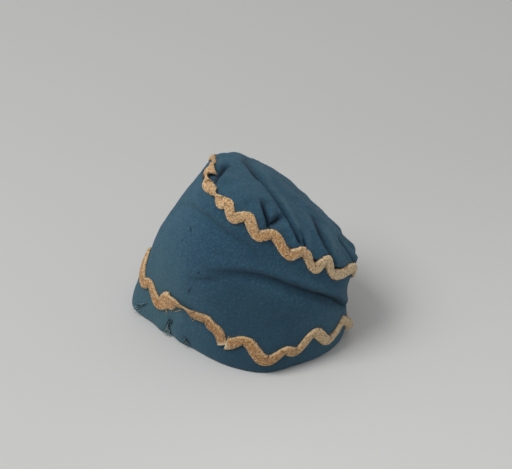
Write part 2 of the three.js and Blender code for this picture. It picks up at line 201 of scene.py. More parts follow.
CROWN_FOLDS = (
    table(
        "deg reach ridge step pinch width",
        (150, 0.78, 0, 0, 0, 1.1),
        (172, 0.6, 0, -0.25, 0.15, 1.0),
        (194, 0.43, 0, -0.4, 0.35, 0.9),
        (214, 0.37, 0, -0.55, 0.5, 0.8),
        (233, 0.41, 0, -0.65, 0.6, 0.8),
        (248.5, 0.51, 0, -0.75, 0.65, 0.75),
        (259.5, 0.63, -0.1, -0.85, 0.7, 0.7),
        (269.5, 0.79, -0.1, -0.9, 0.75, 0.65),
        (278, 0.93, 0, -0.7, 0.6, 0.6),
    ),
    table(
        "deg reach ridge step pinch width",
        (170, 0.48, 0, 0, 0, 1.0),
        (194, 0.33, -0.3, 0, 0, 1.0),
        (214, 0.27, -0.45, 0, 0, 1.0),
        (233, 0.31, -0.5, 0, 0, 1.0),
        (248, 0.42, -0.5, 0, 0, 1.0),
        (259, 0.55, -0.4, 0, 0, 0.9),
        (269, 0.71, -0.2, 0, 0, 0.8),
        (275, 0.8, 0, 0, 0, 0.8),
    ),
    table(
        "deg reach ridge step pinch width",
        (234, 0.66, 0, 0, 0, 0.7),
        (240, 0.77, -0.3, -0.3, 0.3, 0.5),
        (246, 0.86, -0.4, -0.4, 0.6, 0.45),
        (252, 0.95, -0.4, -0.2, 0.5, 0.45),
        (254, 0.86, -0.4, 0.3, 0.5, 0.45),
        (256, 0.77, -0.3, 0.3, 0.3, 0.5),
        (259, 0.68, 0, 0, 0, 0.6),
    ),
    table(
        "deg reach ridge step pinch width",
        (334, 0.36, 0, 0, 0, 0.9),
        (321, 0.5, -0.1, -0.5, 0.2, 0.8),
        (312, 0.62, -0.3, -0.9, 0.6, 0.9),
        (308, 0.74, -0.4, -1.3, 1.0, 1.1),
        (308, 0.85, -0.4, -1.3, 1.1, 1.1),
        (312.5, 0.94, -0.3, -0.8, 0.7, 0.8),
        (317, 1.0, 0, 0, 0.3, 0.5),
    ),
    table(
        "deg reach ridge step pinch width",
        (342, 0.99, 0, 0, 0, 0.7),
        (351, 0.985, 0.6, 0, 0, 0.8),
        (360, 0.975, 0.45, 0, 0, 0.8),
        (376, 0.97, 0, 0, 0, 0.8),
    ),
    table(
        "deg reach ridge step pinch width",
        (349, 0.7, 0, 0, 0, 0.8),
        (346, 0.84, -0.5, -0.4, 0.5, 0.55),
        (343, 0.96, -0.3, -0.2, 0.4, 0.5),
        (341, 1.0, 0, 0, 0, 0.5),
    ),
    table(
        "deg reach ridge step pinch width",
        (280, 0.72, 0, 0, 0, 0.6),
        (284, 0.82, -0.3, -0.3, 0.4, 0.4),
        (285.5, 0.93, -0.4, -0.2, 0.5, 0.4),
        (287, 1.0, 0, 0, 0, 0.4),
    ),
    table(
        "deg reach ridge step pinch width",
        (146, 0.55, 0, 0, 0, 1.6),
        (140, 0.25, 0.4, 0, 0, 1.5),
        (20, 0.12, 0.4, 0, 0, 1.5),
        (352, 0.31, 0.45, 0, 0, 1.5),
        (336, 0.46, 0, 0, 0, 1.5),
    ),
    table(
        "deg reach ridge step pinch width",
        (186, 0.74, 0, 0, 0, 0.7),
        (191, 0.82, -0.4, 0.3, 0.3, 0.5),
        (203, 0.93, -0.4, 0.2, 0.4, 0.45),
        (210, 1.0, 0, 0, 0.2, 0.5),
    ),
)

# Where each braid turns between its waves. lift is above its base line, in shares of the swing for the
# upper braid and of the braid height for the lower one. width is a share of the braid width, and roll how
# far the braid is twisted about its own line, in degrees.
UPPER_TURNS = table(
    "deg lift width roll",
    (162, 1.2, 0.8, 0),
    (176, 2.8, 0.3, 0),
    (184.5, 3.2, 0.32, 0),
    (190, 2.7, 0.5, 30),
    (195.8, 1.95, 1.3, 0),
    (199.8, 1.2, 0.5, 55),
    (205, 0.5, 1.1, 0),
    (210.5, 0.7, 0.95, 0),
    (215.7, 0.65, 0.45, 45),
    (220.5, 0.4, 1.15, 0),
    (224.4, 1.15, 0.85, 0),
    (231, -0.5, 0.92, 0),
    (237.8, 1.3, 0.92, 0),
    (248.6, -0.5, 0.97, 0),
    (257.8, 1.1, 0.92, 0),
    (273.5, -0.85, 0.97, 0),
    (284, 1, 0.9, 0),
    (296.2, -1.3, 0.92, 0),
    (305, 0.9, 0.92, 0),
    (314, -1.15, 0.97, 0),
    (337, 0.4, 0.85, 0),
    (346, -1.6, 0.9, 0),
    (356, -1.2, 1, 0),
    (366, -2.4, 1, 0),
)
LOWER_TURNS = table(
    "deg lift width roll",
    (255.2, 1.12, 1.25, 0),
    (265, 1.43, 0.95, 0),
    (281, 0.69, 1.1, 0),
    (289.5, 1.04, 0.85, 0),
    (296.5, 0.86, 0.85, 0),
    (305.2, 1.46, 0.9, 0),
    (318.8, 0.8, 0.85, 0),
    (331, 1.1, 0.8, 0),
    (337, 0.8, 0.65, 30),
    (341.5, 0.36, 0.65, 60),
    (348, 0.3, 0.75, 20),
    (357, 0.4, 0.8, 0),
    (366, 0.3, 0.9, 0),
)
LOWER_TURNS_END = table(
    "deg lift width roll",
    (158, 1.5, 1, 0),
    (168, 2.35, 1, 0),
    (179.3, 1.52, 1.15, 0),
    (184, 1.7, 0.85, 0),
    (193.8, 1.16, 1.15, 0),
    (202.5, 1.6, 1.75, 0),
    (211.5, 1.83, 0.8, 15),
    (219, 1.88, 0.45, 35),
    (227, 1.78, 0.8, 0),
    (236.5, 1.84, 0.95, 0),
    (244, 1.62, 1, 0),
    (264, 0.2, 0.75, 0),
)

# How far the lower braid stops short of its last turn, in degrees
LOWER_CUT_SHORT = 11.0

# Where the cloth's columns are closest together, and how much closer
CLOSEST_DEG = 240.0
CLOSENESS = 0.35

# Small holes and torn places in the side: where, how far up in millimetres of height, and their half sizes.
# turn is the way that the longer one runs, from level. through is 1 for a hole and 0 for a thin place
# that is only painted dark, as soiling and the painted shade of a slit.
HOLES = table(
    "deg up half_length half_width turn through",
    (207.8, 59.9, 1.2, 0.55, 125, 0),
    (204.4, 52.9, 0.7, 0.6, 0, 0),
    (223.9, 43.6, 1.0, 0.5, 50, 0),
    (220.1, 32.2, 2.4, 0.6, 65, 0),
    (204.6, 4.8, 5.2, 1.1, 80, 1),
    (207.8, 8.9, 1.4, 0.4, 80, 1),
    (182.6, 7.0, 3.2, 0.5, 51, 0),
    (179.2, 4.2, 1.3, 0.7, 51, 1),
    (224.8, 4.4, 2.0, 0.5, 130, 1),
    (223.4, 2.0, 1.2, 0.7, 90, 1),
)

# Loose threads, each from a place on the side to another. The ups are millimetres along the cloth from the
# lower edge, and lift is how far the free end stands off.
PALE_THREADS = table(
    "deg up end_deg end_up lift",
    (200.3, 13.3, 202.9, 11.5, 0.9),
    (199.2, 13.6, 201.4, 12.8, 0.7),
    (209.4, 16, 217.4, 20.6, 0.3),
    (203.2, 15.8, 207, 15, 0.6),
    (229, 19.2, 227, 17.2, 0.7),
    (222, 20.4, 225.4, 18.4, 0.4),
    (262, 14.2, 259, 12.8, 0.6),
)
WOOL_THREADS = table(
    "deg up end_deg end_up lift",
    (204.5, 5, 202.5, 0.7, 0.9),
    (205.5, 4.4, 204.6, 0.5, 1.1),
    (203.5, 4.2, 201.5, 1.2, 1.4),
    (206.7, 4.4, 206, 0.4, 0.8),
    (203, 3, 201, 0.5, 1.2),
    (204.9, 7.2, 203.2, 4.4, 0.6),
    (206, 5.5, 203.5, 0.6, 1),
    (205.2, 8.6, 204.8, 5, 0.8),
    (206.8, 4.4, 204.6, 0.4, 1.4),
    (203.8, 4.2, 206.2, 0.8, 0.9),
    (205.8, 3.2, 207.4, 0.5, 1.2),
    (204.2, 2.6, 203.6, 0.3, 1.6),
    (180, 5, 176.6, 3.4, 1.6),
    (180.4, 4.4, 177, 2.2, 1.9),
    (181, 3.8, 178, 1.4, 1.4),
    (183, 8.4, 180.2, 6.2, 0.6),
    (223, 6, 225.6, 3.4, 0.7),
    (222.2, 4, 224, 1.6, 0.9),
    (225.4, 4.6, 223.4, 1.2, 1.2),
    (226.2, 3.4, 225.2, 0.8, 0.8),
)


def smoothstep(value: Array, low: float, high: float) -> Array:
    """A share that grows smoothly from 0 at low to 1 at high."""
    t = np.clip((value - low) / (high - low), 0, 1)
    return t * t * (3 - 2 * t)


def lerp(start: Array, end: Array, share: Array) -> Array:
    """The value a share of the way from start to end."""
    return start + (end - start) * share


def hump(value: Array, middle: float, spread: float) -> Array:
    """A share that is 1 where the value is at the middle, and falls off smoothly over the spread."""
    return np.exp(-(((value - middle) / spread) ** 2))


def column(values: Array) -> Array:
    """The numbers as a column, to multiply the rows of a list of points."""
    return np.asarray(values, float)[..., None]


def outward(deg: Array) -> Array:
    """Level unit vectors that point outwards at angles round the cap."""
    turn = np.radians(deg)
    return np.stack([np.cos(turn), np.sin(turn), np.zeros_like(turn)], axis=-1)


def angles_of(points: Array) -> Array:
    """Angles round the cap of points, from 0 to a full turn."""
    return np.mod(np.degrees(np.arctan2(points[:, 1], points[:, 0])), FULL_TURN)


def linear(colour: Colour) -> tuple[float, float, float, float]:
    """A screen colour as the shader's colour."""
    shares = [c / 255 for c in colour]
    return (*[s / 12.92 if s <= 0.04045 else ((s + 0.055) / 1.055) ** 2.4 for s in shares], 1.0)


class Ripples:
    """Gentle unevenness through space, made of waves that run every way."""

    WAVES = 14

    def __init__(self, length: float, seed: int) -> None:
        """Draws the waves.

        Args:
            length: About how far it is from one rise to the next, in millimetres.
            seed: Start of the random draws.
        """
        draw = np.random.default_rng(seed)
        ways = draw.normal(size=(self.WAVES, 3))
        ways /= np.linalg.norm(ways, axis=1, keepdims=True)
        self.ways = ways * (math.tau / (length * draw.uniform(0.7, 1.5, (self.WAVES, 1))))
        self.starts = draw.uniform(0, math.tau, self.WAVES)

    def at(self, points: Array) -> Array:
        """The unevenness at points: mostly between -1 and 1."""
        return np.sin(points @ self.ways.T + self.starts).sum(axis=-1) / math.sqrt(self.WAVES)


class CapCloth:
    """The cap's folded cloth as one surface of angle and level."""

    DEG_STEP = 1.0
    LEVEL_STEP = 0.02
    CLIMB_STEPS = 8
    GATHER_COUNT = 18
    FINE_GATHER_COUNT = 29
    GATHER_DEPTH = 0.5
    GATHER_REACH = 0.07
    PINCH_SHARPNESS = 3.2
    SOFT_UNEVENNESS = 0.32
    SMALL_UNEVENNESS = 0.1

    # Painted light of a crease in its fold's widths: painted shade on the line and its low side, a painted
    # highlight, partly wear, on the ridge beyond, and the strength of the shade, highlight and furrow shade
    LINE_SPREAD = 0.42
    SHADE_PLACE = 0.45
    SHADE_SPREAD = 0.6
    RIDGE_PLACE = 2.6
    RIDGE_SPREAD = 0.6
    SIDE_SHADE = 0.14
    CROWN_SHADE = 1.15
    CROWN_RIDGE_HIGHLIGHT = 0.6
    CROWN_FURROW_SHADE = 0.85

    def __init__(self) -> None:
        """Works out the crown's tilted plane and draws the unevenness."""
        tilt = math.radians(SEAM_TILT)
        toward = outward(np.array(SEAM_TILT_TOWARD))
        self.crown_up = math.cos(tilt) * UPRIGHT + math.sin(tilt) * toward
        self.downhill = math.cos(tilt) * toward - math.sin(tilt) * UPRIGHT
        self.across = np.cross(self.crown_up, self.downhill)
        self.soft_ripples = Ripples(26, 3)
        self.small_ripples = Ripples(9, 5)

    def share(self, name: str, deg: Array) -> Array:
        """Reads a column of ROUND_THE_CAP at any angles, on a smooth closed curve through its rows.

        Args:
            name: The column's name.
            deg: Angles round the cap.

        Returns:
            The column's value at each angle.
        """
        degs = ROUND_THE_CAP["deg"]
        values = ROUND_THE_CAP[name]
        count = len(degs)
        at = np.mod(deg, FULL_TURN)
        i = np.searchsorted(degs, at, side="right") - 1

        def row(k: Array) -> tuple[Array, Array]:
            """The angle and the value of a row, counted on round the cap."""
            return degs[k % count] + FULL_TURN * (k // count), values[k % count]

        (deg0, before), (deg1, start), (deg2, end), (deg3, after) = (row(i + k) for k in (-1, 0, 1, 2))
        span = deg2 - deg1
        t = (at - deg1) / span
        slope_start = (end - before) / (deg2 - deg0) * span
        slope_end = (after - start) / (deg3 - deg1) * span
        return (
            (2 * t**3 - 3 * t**2 + 1) * start
            + (t**3 - 2 * t**2 + t) * slope_start
            + (3 * t**2 - 2 * t**3) * end
            + (t**3 - t**2) * slope_end
        )

    def opening(self, deg: Array) -> Array:
        """Points of the lower edge.

        Args:
            deg: Angles round the cap.

        Returns:
            Points in millimetres from the middle of the opening.
        """
        turn = np.radians(deg - OPENING_TURN)
        size = np.hypot(np.cos(turn) / (OPENING_LENGTH / 2), np.sin(turn) / (OPENING_WIDTH / 2))
        return outward(deg) * column(self.share("opening", deg) / size)

    def seam(self, deg: Array) -> Array:
        """Points of the crown seam.

        Args:
            deg: Angles round the cap.

        Returns:
            Points in millimetres from the middle of the opening.
        """
        turn = np.radians(deg - SEAM_TILT_TOWARD)
        share = self.share("seam", deg)
        along = column(SEAM_LENGTH / 2 * np.cos(turn) * share) * self.downhill
        return SEAM_CENTRE + along + column(SEAM_WIDTH / 2 * np.sin(turn) * share) * self.across

    def hem_share(self, deg: Array, level: Array) -> Array:
        """How far up the hem a level of the side is, as a share of the hem's depth."""
        return level * self.seam(deg)[..., 2] / HEM_DEPTH

    def side(self, deg: Array, level: Array) -> Array:
        """Points of the unfolded side.

        Args:
            deg: Angles round the cap.
            level: Levels up the cloth. Any over 1 counts as 1.

        Returns:
            Points in millimetres from the middle of the opening.
        """
        level = np.clip(level, 0, 1)
        swell = BELLY * self.share("belly", deg) * np.sin(math.pi * level**BELLY_POWER)
        roll = HEM_ROLL * np.maximum(0, 1 - self.hem_share(deg, level)) ** 2
        return lerp(self.opening(deg), self.seam(deg), column(level)) + outward(deg) * column(swell - roll)

    def reach(self, level: Array) -> Array:
        """How far out from the crown's middle a level of the crown is: 1 at the seam."""
        turn = np.clip(level - 1, 0, 1) * (math.pi / 2)
        return np.maximum(np.cos(turn), 0) ** PUFF_POWER

    def crown(self, deg: Array, level: Array) -> Array:
        """Points of the unfolded crown.

        Args:
            deg: Angles round the cap.
            level: Levels up the cloth. Any under 1 counts as 1.

        Returns:
            Points in millimetres from the middle of the opening.
        """
        level = np.clip(level, 1, 2)
        arch = np.sin((level - 1) * (math.pi / 2)) ** PUFF_POWER
        height = PUFF * arch * lerp(self.share("puff", deg), 1, level - 1)
        middle = SEAM_CENTRE - PUFF_SHIFT * self.downhill
        return lerp(middle, self.seam(deg), column(self.reach(level))) + column(height) * self.crown_up

    def unfolded(self, deg: Array, level: Array) -> Array:
        """Points of the cloth before its folds."""
        return np.where(column(level) <= 1, self.side(deg, level), self.crown(deg, level))

    def out_of_cloth(self, deg: Array, level: Array) -> Array:
        """Unit vectors out of the unfolded cloth, turned level at the lower edge.

        Args:
            deg: Angles round the cap.
            level: Levels up the cloth.

        Returns:
            A unit vector for each point.
        """
        along = self.unfolded(deg + self.DEG_STEP, level) - self.unfolded(deg - self.DEG_STEP, level)
        below = np.maximum(level - self.LEVEL_STEP, 0)
        up = self.unfolded(deg, np.minimum(level + self.LEVEL_STEP, 2)) - self.unfolded(deg, below)
        normal = np.cross(along, up)
        normal /= np.maximum(np.linalg.norm(normal, axis=-1, keepdims=True), 1e-9)
        normal[..., 2] *= smoothstep(self.hem_share(deg, level), 0, 1)
        normal = np.where(column(level) > 2 - self.LEVEL_STEP, self.crown_up, normal)
        return normal / np.linalg.norm(normal, axis=-1, keepdims=True)

    def side_chart(self, deg: Array, rise: Array) -> Array:
        """The side laid out flat, in millimetres."""
        radius = (OPENING_LENGTH + OPENING_WIDTH) / 4
        return np.stack([np.radians(deg) * radius, rise * self.seam(deg)[..., 2]], axis=-1)

    def crown_chart(self, deg: Array, reach: Array) -> Array:
        """The crown laid out flat, in millimetres."""
        return outward(deg)[..., :2] * column(reach * SEAM_LENGTH / 2)

    def near_fold(self, fold: dict[str, Array], line: Array, points: Array) -> dict[str, Array]:
        """What a fold is like where each point comes nearest to its line.

        Args:
            fold: The fold's table.
            line: The fold's points on the flat chart.
            points: The points of the chart that are asked for.

        Returns:
            The fold's shares at each point, with across: how far off its line the point is, in fold widths.
        """
        nearest = np.full(len(points), np.inf)
        found = {name: np.zeros(len(points)) for name in ("ridge", "step", "pinch", "across")}
        for i in range(len(line) - 1):
            along = line[i + 1] - line[i]
            offset = points - line[i]
            t = np.clip(offset @ along / (along @ along), 0, 1)
            distance = np.linalg.norm(offset - t[:, None] * along, axis=1)
            side = np.sign(along[0] * offset[:, 1] - along[1] * offset[:, 0])
            shares = ("ridge", "step", "pinch", "width")
            here = {name: lerp(fold[name][i], fold[name][i + 1], t) for name in shares}
            here["across"] = side * distance / (here["width"] * FOLD_WIDTH)
            for name, values in found.items():
                found[name] = np.where(distance < nearest, here[name], values)
            nearest = np.minimum(distance, nearest)
        return found

    def folds_at(self, deg: Array, level: Array) -> list[dict[str, Array]]:
        """What each fold is like at points of the cloth, side folds first.

        Args:
            deg: Angles round the cap.
            level: Levels up the cloth.

        Returns:
            For each fold, its shares at each point, as near_fold gives them.
        """
        rise = np.clip(level, 0, 1)
        found = []
        for fold in SIDE_FOLDS:
            line = self.side_chart(fold["deg"], fold["rise"])
            for turned in (deg - FULL_TURN, deg, deg + FULL_TURN):
                here = self.near_fold(fold, line, self.side_chart(turned, rise))
                found.append({name: np.where(level <= 1, values, 0) for name, values in here.items()})
        for fold in CROWN_FOLDS:
            line = self.crown_chart(fold["deg"], fold["reach"])
            here = self.near_fold(fold, line, self.crown_chart(deg, self.reach(level)))
            strength = smoothstep(level, 1, PLEAT_START)
            for name in ("ridge", "step", "pinch"):
                here[name] = here[name] * strength
            found.append(here)
        return found

    def painted_fold_shading(self, deg: Array, level: Array) -> Array:
        """How much painted shade the cloth gets in its creases, partly dye that has faded less there.

        Args:
            deg: Angles round the cap.
            level: Levels up the cloth.

        Returns:
            From -1, the strongest painted highlight on a ridge, partly wear, to 1, the darkest painted
            shade.
        """
        depth = np.zeros(len(deg))
        for fold in self.folds_at(deg, level):
            # Painted shade on the line, on its low side and in furrows, and a painted highlight on the ridge
            low_side = -np.sign(fold["step"]) * fold["across"]
            roll = np.sqrt(np.abs(fold["step"]))
            line = fold["pinch"] * hump(fold["across"], 0, self.LINE_SPREAD)
            shade = roll * hump(low_side, self.SHADE_PLACE, self.SHADE_SPREAD)
            ridge = roll * hump(low_side, self.RIDGE_PLACE, self.RIDGE_SPREAD)
            furrow = np.maximum(-fold["ridge"], 0) * hump(fold["across"], 0, 1)
            on_crown = self.CROWN_SHADE * shade - self.CROWN_RIDGE_HIGHLIGHT * ridge + self.CROWN_FURROW_SHADE * furrow
            depth += line + np.where(level > 1, on_crown, self.SIDE_SHADE * shade)
        return np.clip(depth, -1, 1)

    def folding(self, deg: Array, level: Array, points: Array) -> Array:
        """How far folds, gathers and unevenness move the cloth out of its unfolded shape.

        Args:
            deg: Angles round the cap.
            level: Levels up the cloth.
            points: The same places on the unfolded cloth.

        Returns:
            How far out each point moves, in millimetres.
        """
        folds = np.zeros(len(deg))
        for fold in self.folds_at(deg, level):
            away = fold["across"]
            soft = np.exp(-away * away) * (fold["ridge"] + fold["step"] * away * math.sqrt(2))
            folds += FOLD_DEPTH * (soft - fold["pinch"] * np.exp(-self.PINCH_SHARPNESS * np.abs(away)))
        reach = self.reach(level)
        turn = np.radians(deg)
        inward = (1 - reach) / self.GATHER_REACH
        fine_waves = np.sin(self.FINE_GATHER_COUNT * turn + 2 * np.sin(3 * turn))
        waves = np.sin(self.GATHER_COUNT * turn) + 0.5 * fine_waves
        deeper = 0.75 + 0.45 * np.sin(2 * turn + 1.2)
        gathers = self.GATHER_DEPTH * deeper * waves * inward * np.exp(1 - inward)
        soft = self.SOFT_UNEVENNESS * self.soft_ripples.at(points)
        uneven = soft + self.SMALL_UNEVENNESS * self.small_ripples.at(points)
        up_hem = self.hem_share(deg, np.clip(level, 0, 1))
        flap = FLAP_OUT * hump(deg, FLAP_DEG, FLAP_SPREAD) * smoothstep(-up_hem, -FLAP_HEIGHT / HEM_DEPTH, 0)
        return folds + np.where(level > 1, gathers, 0) + uneven * smoothstep(up_hem, 0.1, 1.2) + flap

    def on_cloth(self, deg: Array, level: Array, height: Array | float = 0.0) -> Array:
        """Points at a height over the outer face of the folded cloth.

        Args:
            deg: Angles round the cap.
            level: Levels up the cloth.
            height: Heights over the outer face, in millimetres.

        Returns:
            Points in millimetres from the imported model's origin.
        """
        deg, level, height = np.broadcast_arrays(np.asarray(deg, float), level, height)
        base = self.unfolded(deg, level)
        lift = self.folding(deg, level, base) + height
        return base + self.out_of_cloth(deg, level) * column(lift) + ORIGIN

    def climb(self, deg: Array, level: Array | float, length: Array | float) -> Array:
        """Goes up the cloth by a length, or down if it is under 0.

        Args:
            deg: Angles round the cap.
            level: The levels that it starts from.
            length: How far it goes, in millimetres.

        Returns:
            The levels that it reaches.
        """
        deg, level, length = np.broadcast_arrays(np.asarray(deg, float), level, length)
        probe = np.where(length < 0, -0.004, 0.004)
        at = np.array(level, float)
        for _ in range(self.CLIMB_STEPS):
            step = self.unfolded(deg, at + probe) - self.unfolded(deg, at)
            at = at + length / self.CLIMB_STEPS * np.abs(probe) / np.linalg.norm(step, axis=-1)
        return at


@dataclass
class Sheet:
    """A mesh made from a flat grid whose points are put in place all at once."""

    name: str
    columns: int
    rows: int

    def build(self, place: Place, texture: Place, creases: Place) -> bmesh.types.BMesh:
        """Makes the grid and puts it in place.

        Args:
            place: Gives points in millimetres for two shares of the way across the grid.
            texture: Gives the texture coordinates in the same way.
            creases: Gives each point's painted shade of the folds in the same way, stored as an attribute.

        Returns:
            The mesh in metres, with a texture map named cloth. Its edges that meet aren't joined yet.
        """
        mesh = bmesh.new()
        bmesh.ops.create_grid(mesh, x_segments=self.columns, y_segments=self.rows, size=0.5)
        mesh.verts.index_update()
        flat = np.array([vert.co[:2] for vert in mesh.verts]) + 0.5
        points = place(flat[:, 0], flat[:, 1]) * MM
        marks = texture(flat[:, 0], flat[:, 1])
        layer = mesh.loops.layers.uv.new("cloth")
        for face in mesh.faces:
            for loop in face.loops:
                loop[layer].uv = marks[loop.vert.index]
        for vert, point in zip(mesh.verts, points):
            vert.co = point
        painted_fold_shading = mesh.verts.layers.float.new("painted_fold_shading")
        for vert, depth in zip(mesh.verts, creases(flat[:, 0], flat[:, 1])):
            vert[painted_fold_shading] = depth
        return mesh


def finished(name: str, mesh: bmesh.types.BMesh, material: bpy.types.Material) -> Piece:
    """Turns a bmesh into a smooth object with a material, at the origin.

    Args:
        name: The object's name.
        mesh: The mesh, which is freed.
        material: Its material.

    Returns:
        The new object, in the scene.
    """
    data = bpy.data.meshes.new(name)
    mesh.to_mesh(data)
    mesh.free()
    data.materials.append(material)
    data.shade_smooth()
    piece = bpy.data.objects.new(name, data)
    bpy.context.scene.collection.objects.link(piece)
    return piece


def give_wall(piece: Piece, thickness: float) -> None:
    """Gives a sheet its thickness, inwards from its outer face.

    Args:
        piece: The sheet.
        thickness: How thick it gets, in millimetres.
    """
    wall = piece.modifiers.new("wall", "SOLIDIFY")
    wall.thickness = thickness * MM
    wall.offset = -1
    wall.use_rim = True


def give_attribute(piece: Piece, name: str, values: Array) -> None:
    """Stores a number for each vertex of a piece, for its material to read."""
    layer = piece.data.attributes.new(name, "FLOAT", "POINT")
    layer.data.foreach_set("value", np.asarray(values, np.float32))


def vertex_points(piece: Piece) -> Array:
    """Where a piece's vertices are.

    Args:
        piece: The piece.

    Returns:
        Points in millimetres from the middle of the opening.
    """
    points = np.zeros(len(piece.data.vertices) * 3)
    piece.data.vertices.foreach_get("co", points)
    return points.reshape(-1, 3) / MM - ORIGIN


class Axis(Enum):
    """Parts of a vector."""

    X = "X"
    Y = "Y"


class Sum(Enum):
    """What a Math node works out."""

    ADD = "ADD"
    MULTIPLY = "MULTIPLY"
    MULTIPLY_ADD = "MULTIPLY_ADD"
    SINE = "SINE"
    ABSOLUTE = "ABSOLUTE"


class Graph:
    """A material's nodes, put together by short calls."""

    def __init__(self, name: str, roughness: float, specular: float = 0.2) -> None:
        """Starts a material with one plain shader.

        Args:
            name: The material's name.
            roughness: The shader's roughness.
            specular: The shader's specular level.
        """
        self.material = bpy.data.materials.new(name)
        self.material.use_nodes = True
        self.nodes = self.material.node_tree.nodes
        self.links = self.material.node_tree.links
        self.shader = self.nodes["Principled BSDF"]
        self.shader.inputs["Roughness"].default_value = roughness
        self.shader.inputs["Specular IOR Level"].default_value = specular

    def sheen(self, weight: float, roughness: float) -> None:
        """Gives the shader the soft sheen of short fibres.

        Args:
            weight: How strong the sheen is.
            roughness: How soft it is.
        """
        self.shader.inputs["Sheen Weight"].default_value = weight
        self.shader.inputs["Sheen Roughness"].default_value = roughness

    def feed(self, socket: Socket, value: Socket | float | Colour) -> None:
        """Links a socket to another one, or sets its value or colour.

        Args:
            socket: The socket that takes the value.
            value: Another socket, a number or a colour.
        """
        if isinstance(value, bpy.types.NodeSocket):
            self.links.new(value, socket)
        elif isinstance(value, tuple):
            socket.default_value = linear(value)
        else:
            socket.default_value = value

    def places(self) -> Socket:
        """Object coordinates, in metres."""
        return self.nodes.new("ShaderNodeTexCoord").outputs["Object"]

    def cloth_map(self) -> Socket:
        """The piece's own texture map.

        Returns:
            Texture coordinates in millimetres.
        """
        node = self.nodes.new("ShaderNodeUVMap")
        node.uv_map = "cloth"
        return node.outputs["UV"]

    def stretched(self, vector: Socket, scale: tuple[float, float, float]) -> Socket:
        """Coordinates times a scale of their own each way.

        Args:
            vector: The coordinates.
            scale: What each part of them is multiplied by.

        Returns:
            The new coordinates.
        """
        node = self.nodes.new("ShaderNodeVectorMath")
        node.operation = "MULTIPLY"
        self.links.new(vector, node.inputs[0])
        node.inputs[1].default_value = scale
        return node.outputs[0]

    def axis(self, vector: Socket, axis: Axis) -> Socket:
        """One part of a vector.

        Args:
            vector: The vector.
            axis: Which part.

        Returns:
            The part.
        """
        node = self.nodes.new("ShaderNodeSeparateXYZ")
        self.links.new(vector, node.inputs[0])
        return node.outputs[axis.value]

    def attribute(self, name: str) -> Socket:
        """A number that is stored at each vertex.

        Args:
            name: The name that it is stored under.

        Returns:
            The number.
        """
        node = self.nodes.new("ShaderNodeAttribute")
        node.attribute_name = name
        return node.outputs["Fac"]

    def noise(self, vector: Socket, scale: float, detail: float = 3.0, rough: float = 0.5) -> Socket:
        """A noise between 0 and 1.

        Args:
            vector: The coordinates.
            scale: How fine the noise is.
            detail: How many finer noises are added to it.
            rough: How strong the finer ones are.

        Returns:
            The noise.
        """
        node = self.nodes.new("ShaderNodeTexNoise")
        self.links.new(vector, node.inputs["Vector"])
        node.inputs["Scale"].default_value = scale
        node.inputs["Detail"].default_value = detail
        node.inputs["Roughness"].default_value = rough
        return node.outputs["Fac"]

    def math(self, kind: Sum, *numbers: Socket | float) -> Socket:
        """A sum on one, two or three numbers.

        Args:
            kind: What is worked out.
            numbers: What it is worked out from.

        Returns:
            What comes out.
        """
        node = self.nodes.new("ShaderNodeMath")
        node.operation = kind.value
        for socket, number in zip(node.inputs, numbers):
            self.feed(socket, number)
        return node.outputs[0]

    def part(self, name: str, share: float) -> Socket:
        """A share of a number that is stored at each vertex."""
        return self.math(Sum.MULTIPLY, self.attribute(name), share)

    def spread(self, value: Socket, low: float, high: float, top: float = 1.0) -> Socket:
        """Maps low to high smoothly onto 0 to top.

        Args:
            value: The number that is mapped.
            low: The number that becomes 0.
            high: The number that becomes top.
            top: The highest number that comes out.

        Returns:
            The mapped number.
        """
        node = self.nodes.new("ShaderNodeMapRange")
        node.interpolation_type = "SMOOTHSTEP"
        for name, number in (("From Min", low), ("From Max", high), ("To Min", 0.0), ("To Max", top)):
            node.inputs[name].default_value = number
        self.links.new(value, node.inputs["Value"])
        return node.outputs["Result"]

    def mix(self, share: Socket | float, first: Socket | Colour, second: Socket | Colour) -> Socket:
        """Mixes two colours.

        Args:
            share: The second colour's share.
            first: The first colour.
            second: The second colour.

        Returns:
            The mixed colour.
        """
        node = self.nodes.new("ShaderNodeMix")
        node.data_type = "RGBA"
        self.feed(node.inputs[0], share)
        self.feed(node.inputs[6], first)
        self.feed(node.inputs[7], second)
        return node.outputs[2]

    def bump(self, height: Socket, strength: float, depth: float, under: Socket | None = None) -> Socket:
        """Bumps a surface by a height.

        Args:
            height: The height at each place, from 0 to 1.
            strength: How strong the bumps are.
            depth: How deep they are, in millimetres.
            under: The bumps that lie under these.

        Returns:
            The bumped normal.
        """
        node = self.nodes.new("ShaderNodeBump")
        node.inputs["Strength"].default_value = strength
        node.inputs["Distance"].default_value = depth * MM
        self.links.new(height, node.inputs["Height"])
        if under is not None:
            self.links.new(under, node.inputs["Normal"])
        return node.outputs["Normal"]

    def finish(self, colour: Socket | Colour, normal: Socket | None = None) -> bpy.types.Material:
        """Feeds the shader its colour and bumps.

        Args:
            colour: The surface's colour.
            normal: Its bumps.

        Returns:
            The finished material.
        """
        self.feed(self.shader.inputs["Base Color"], colour)
        if normal is not None:
            self.links.new(normal, self.shader.inputs["Normal"])
        return self.material


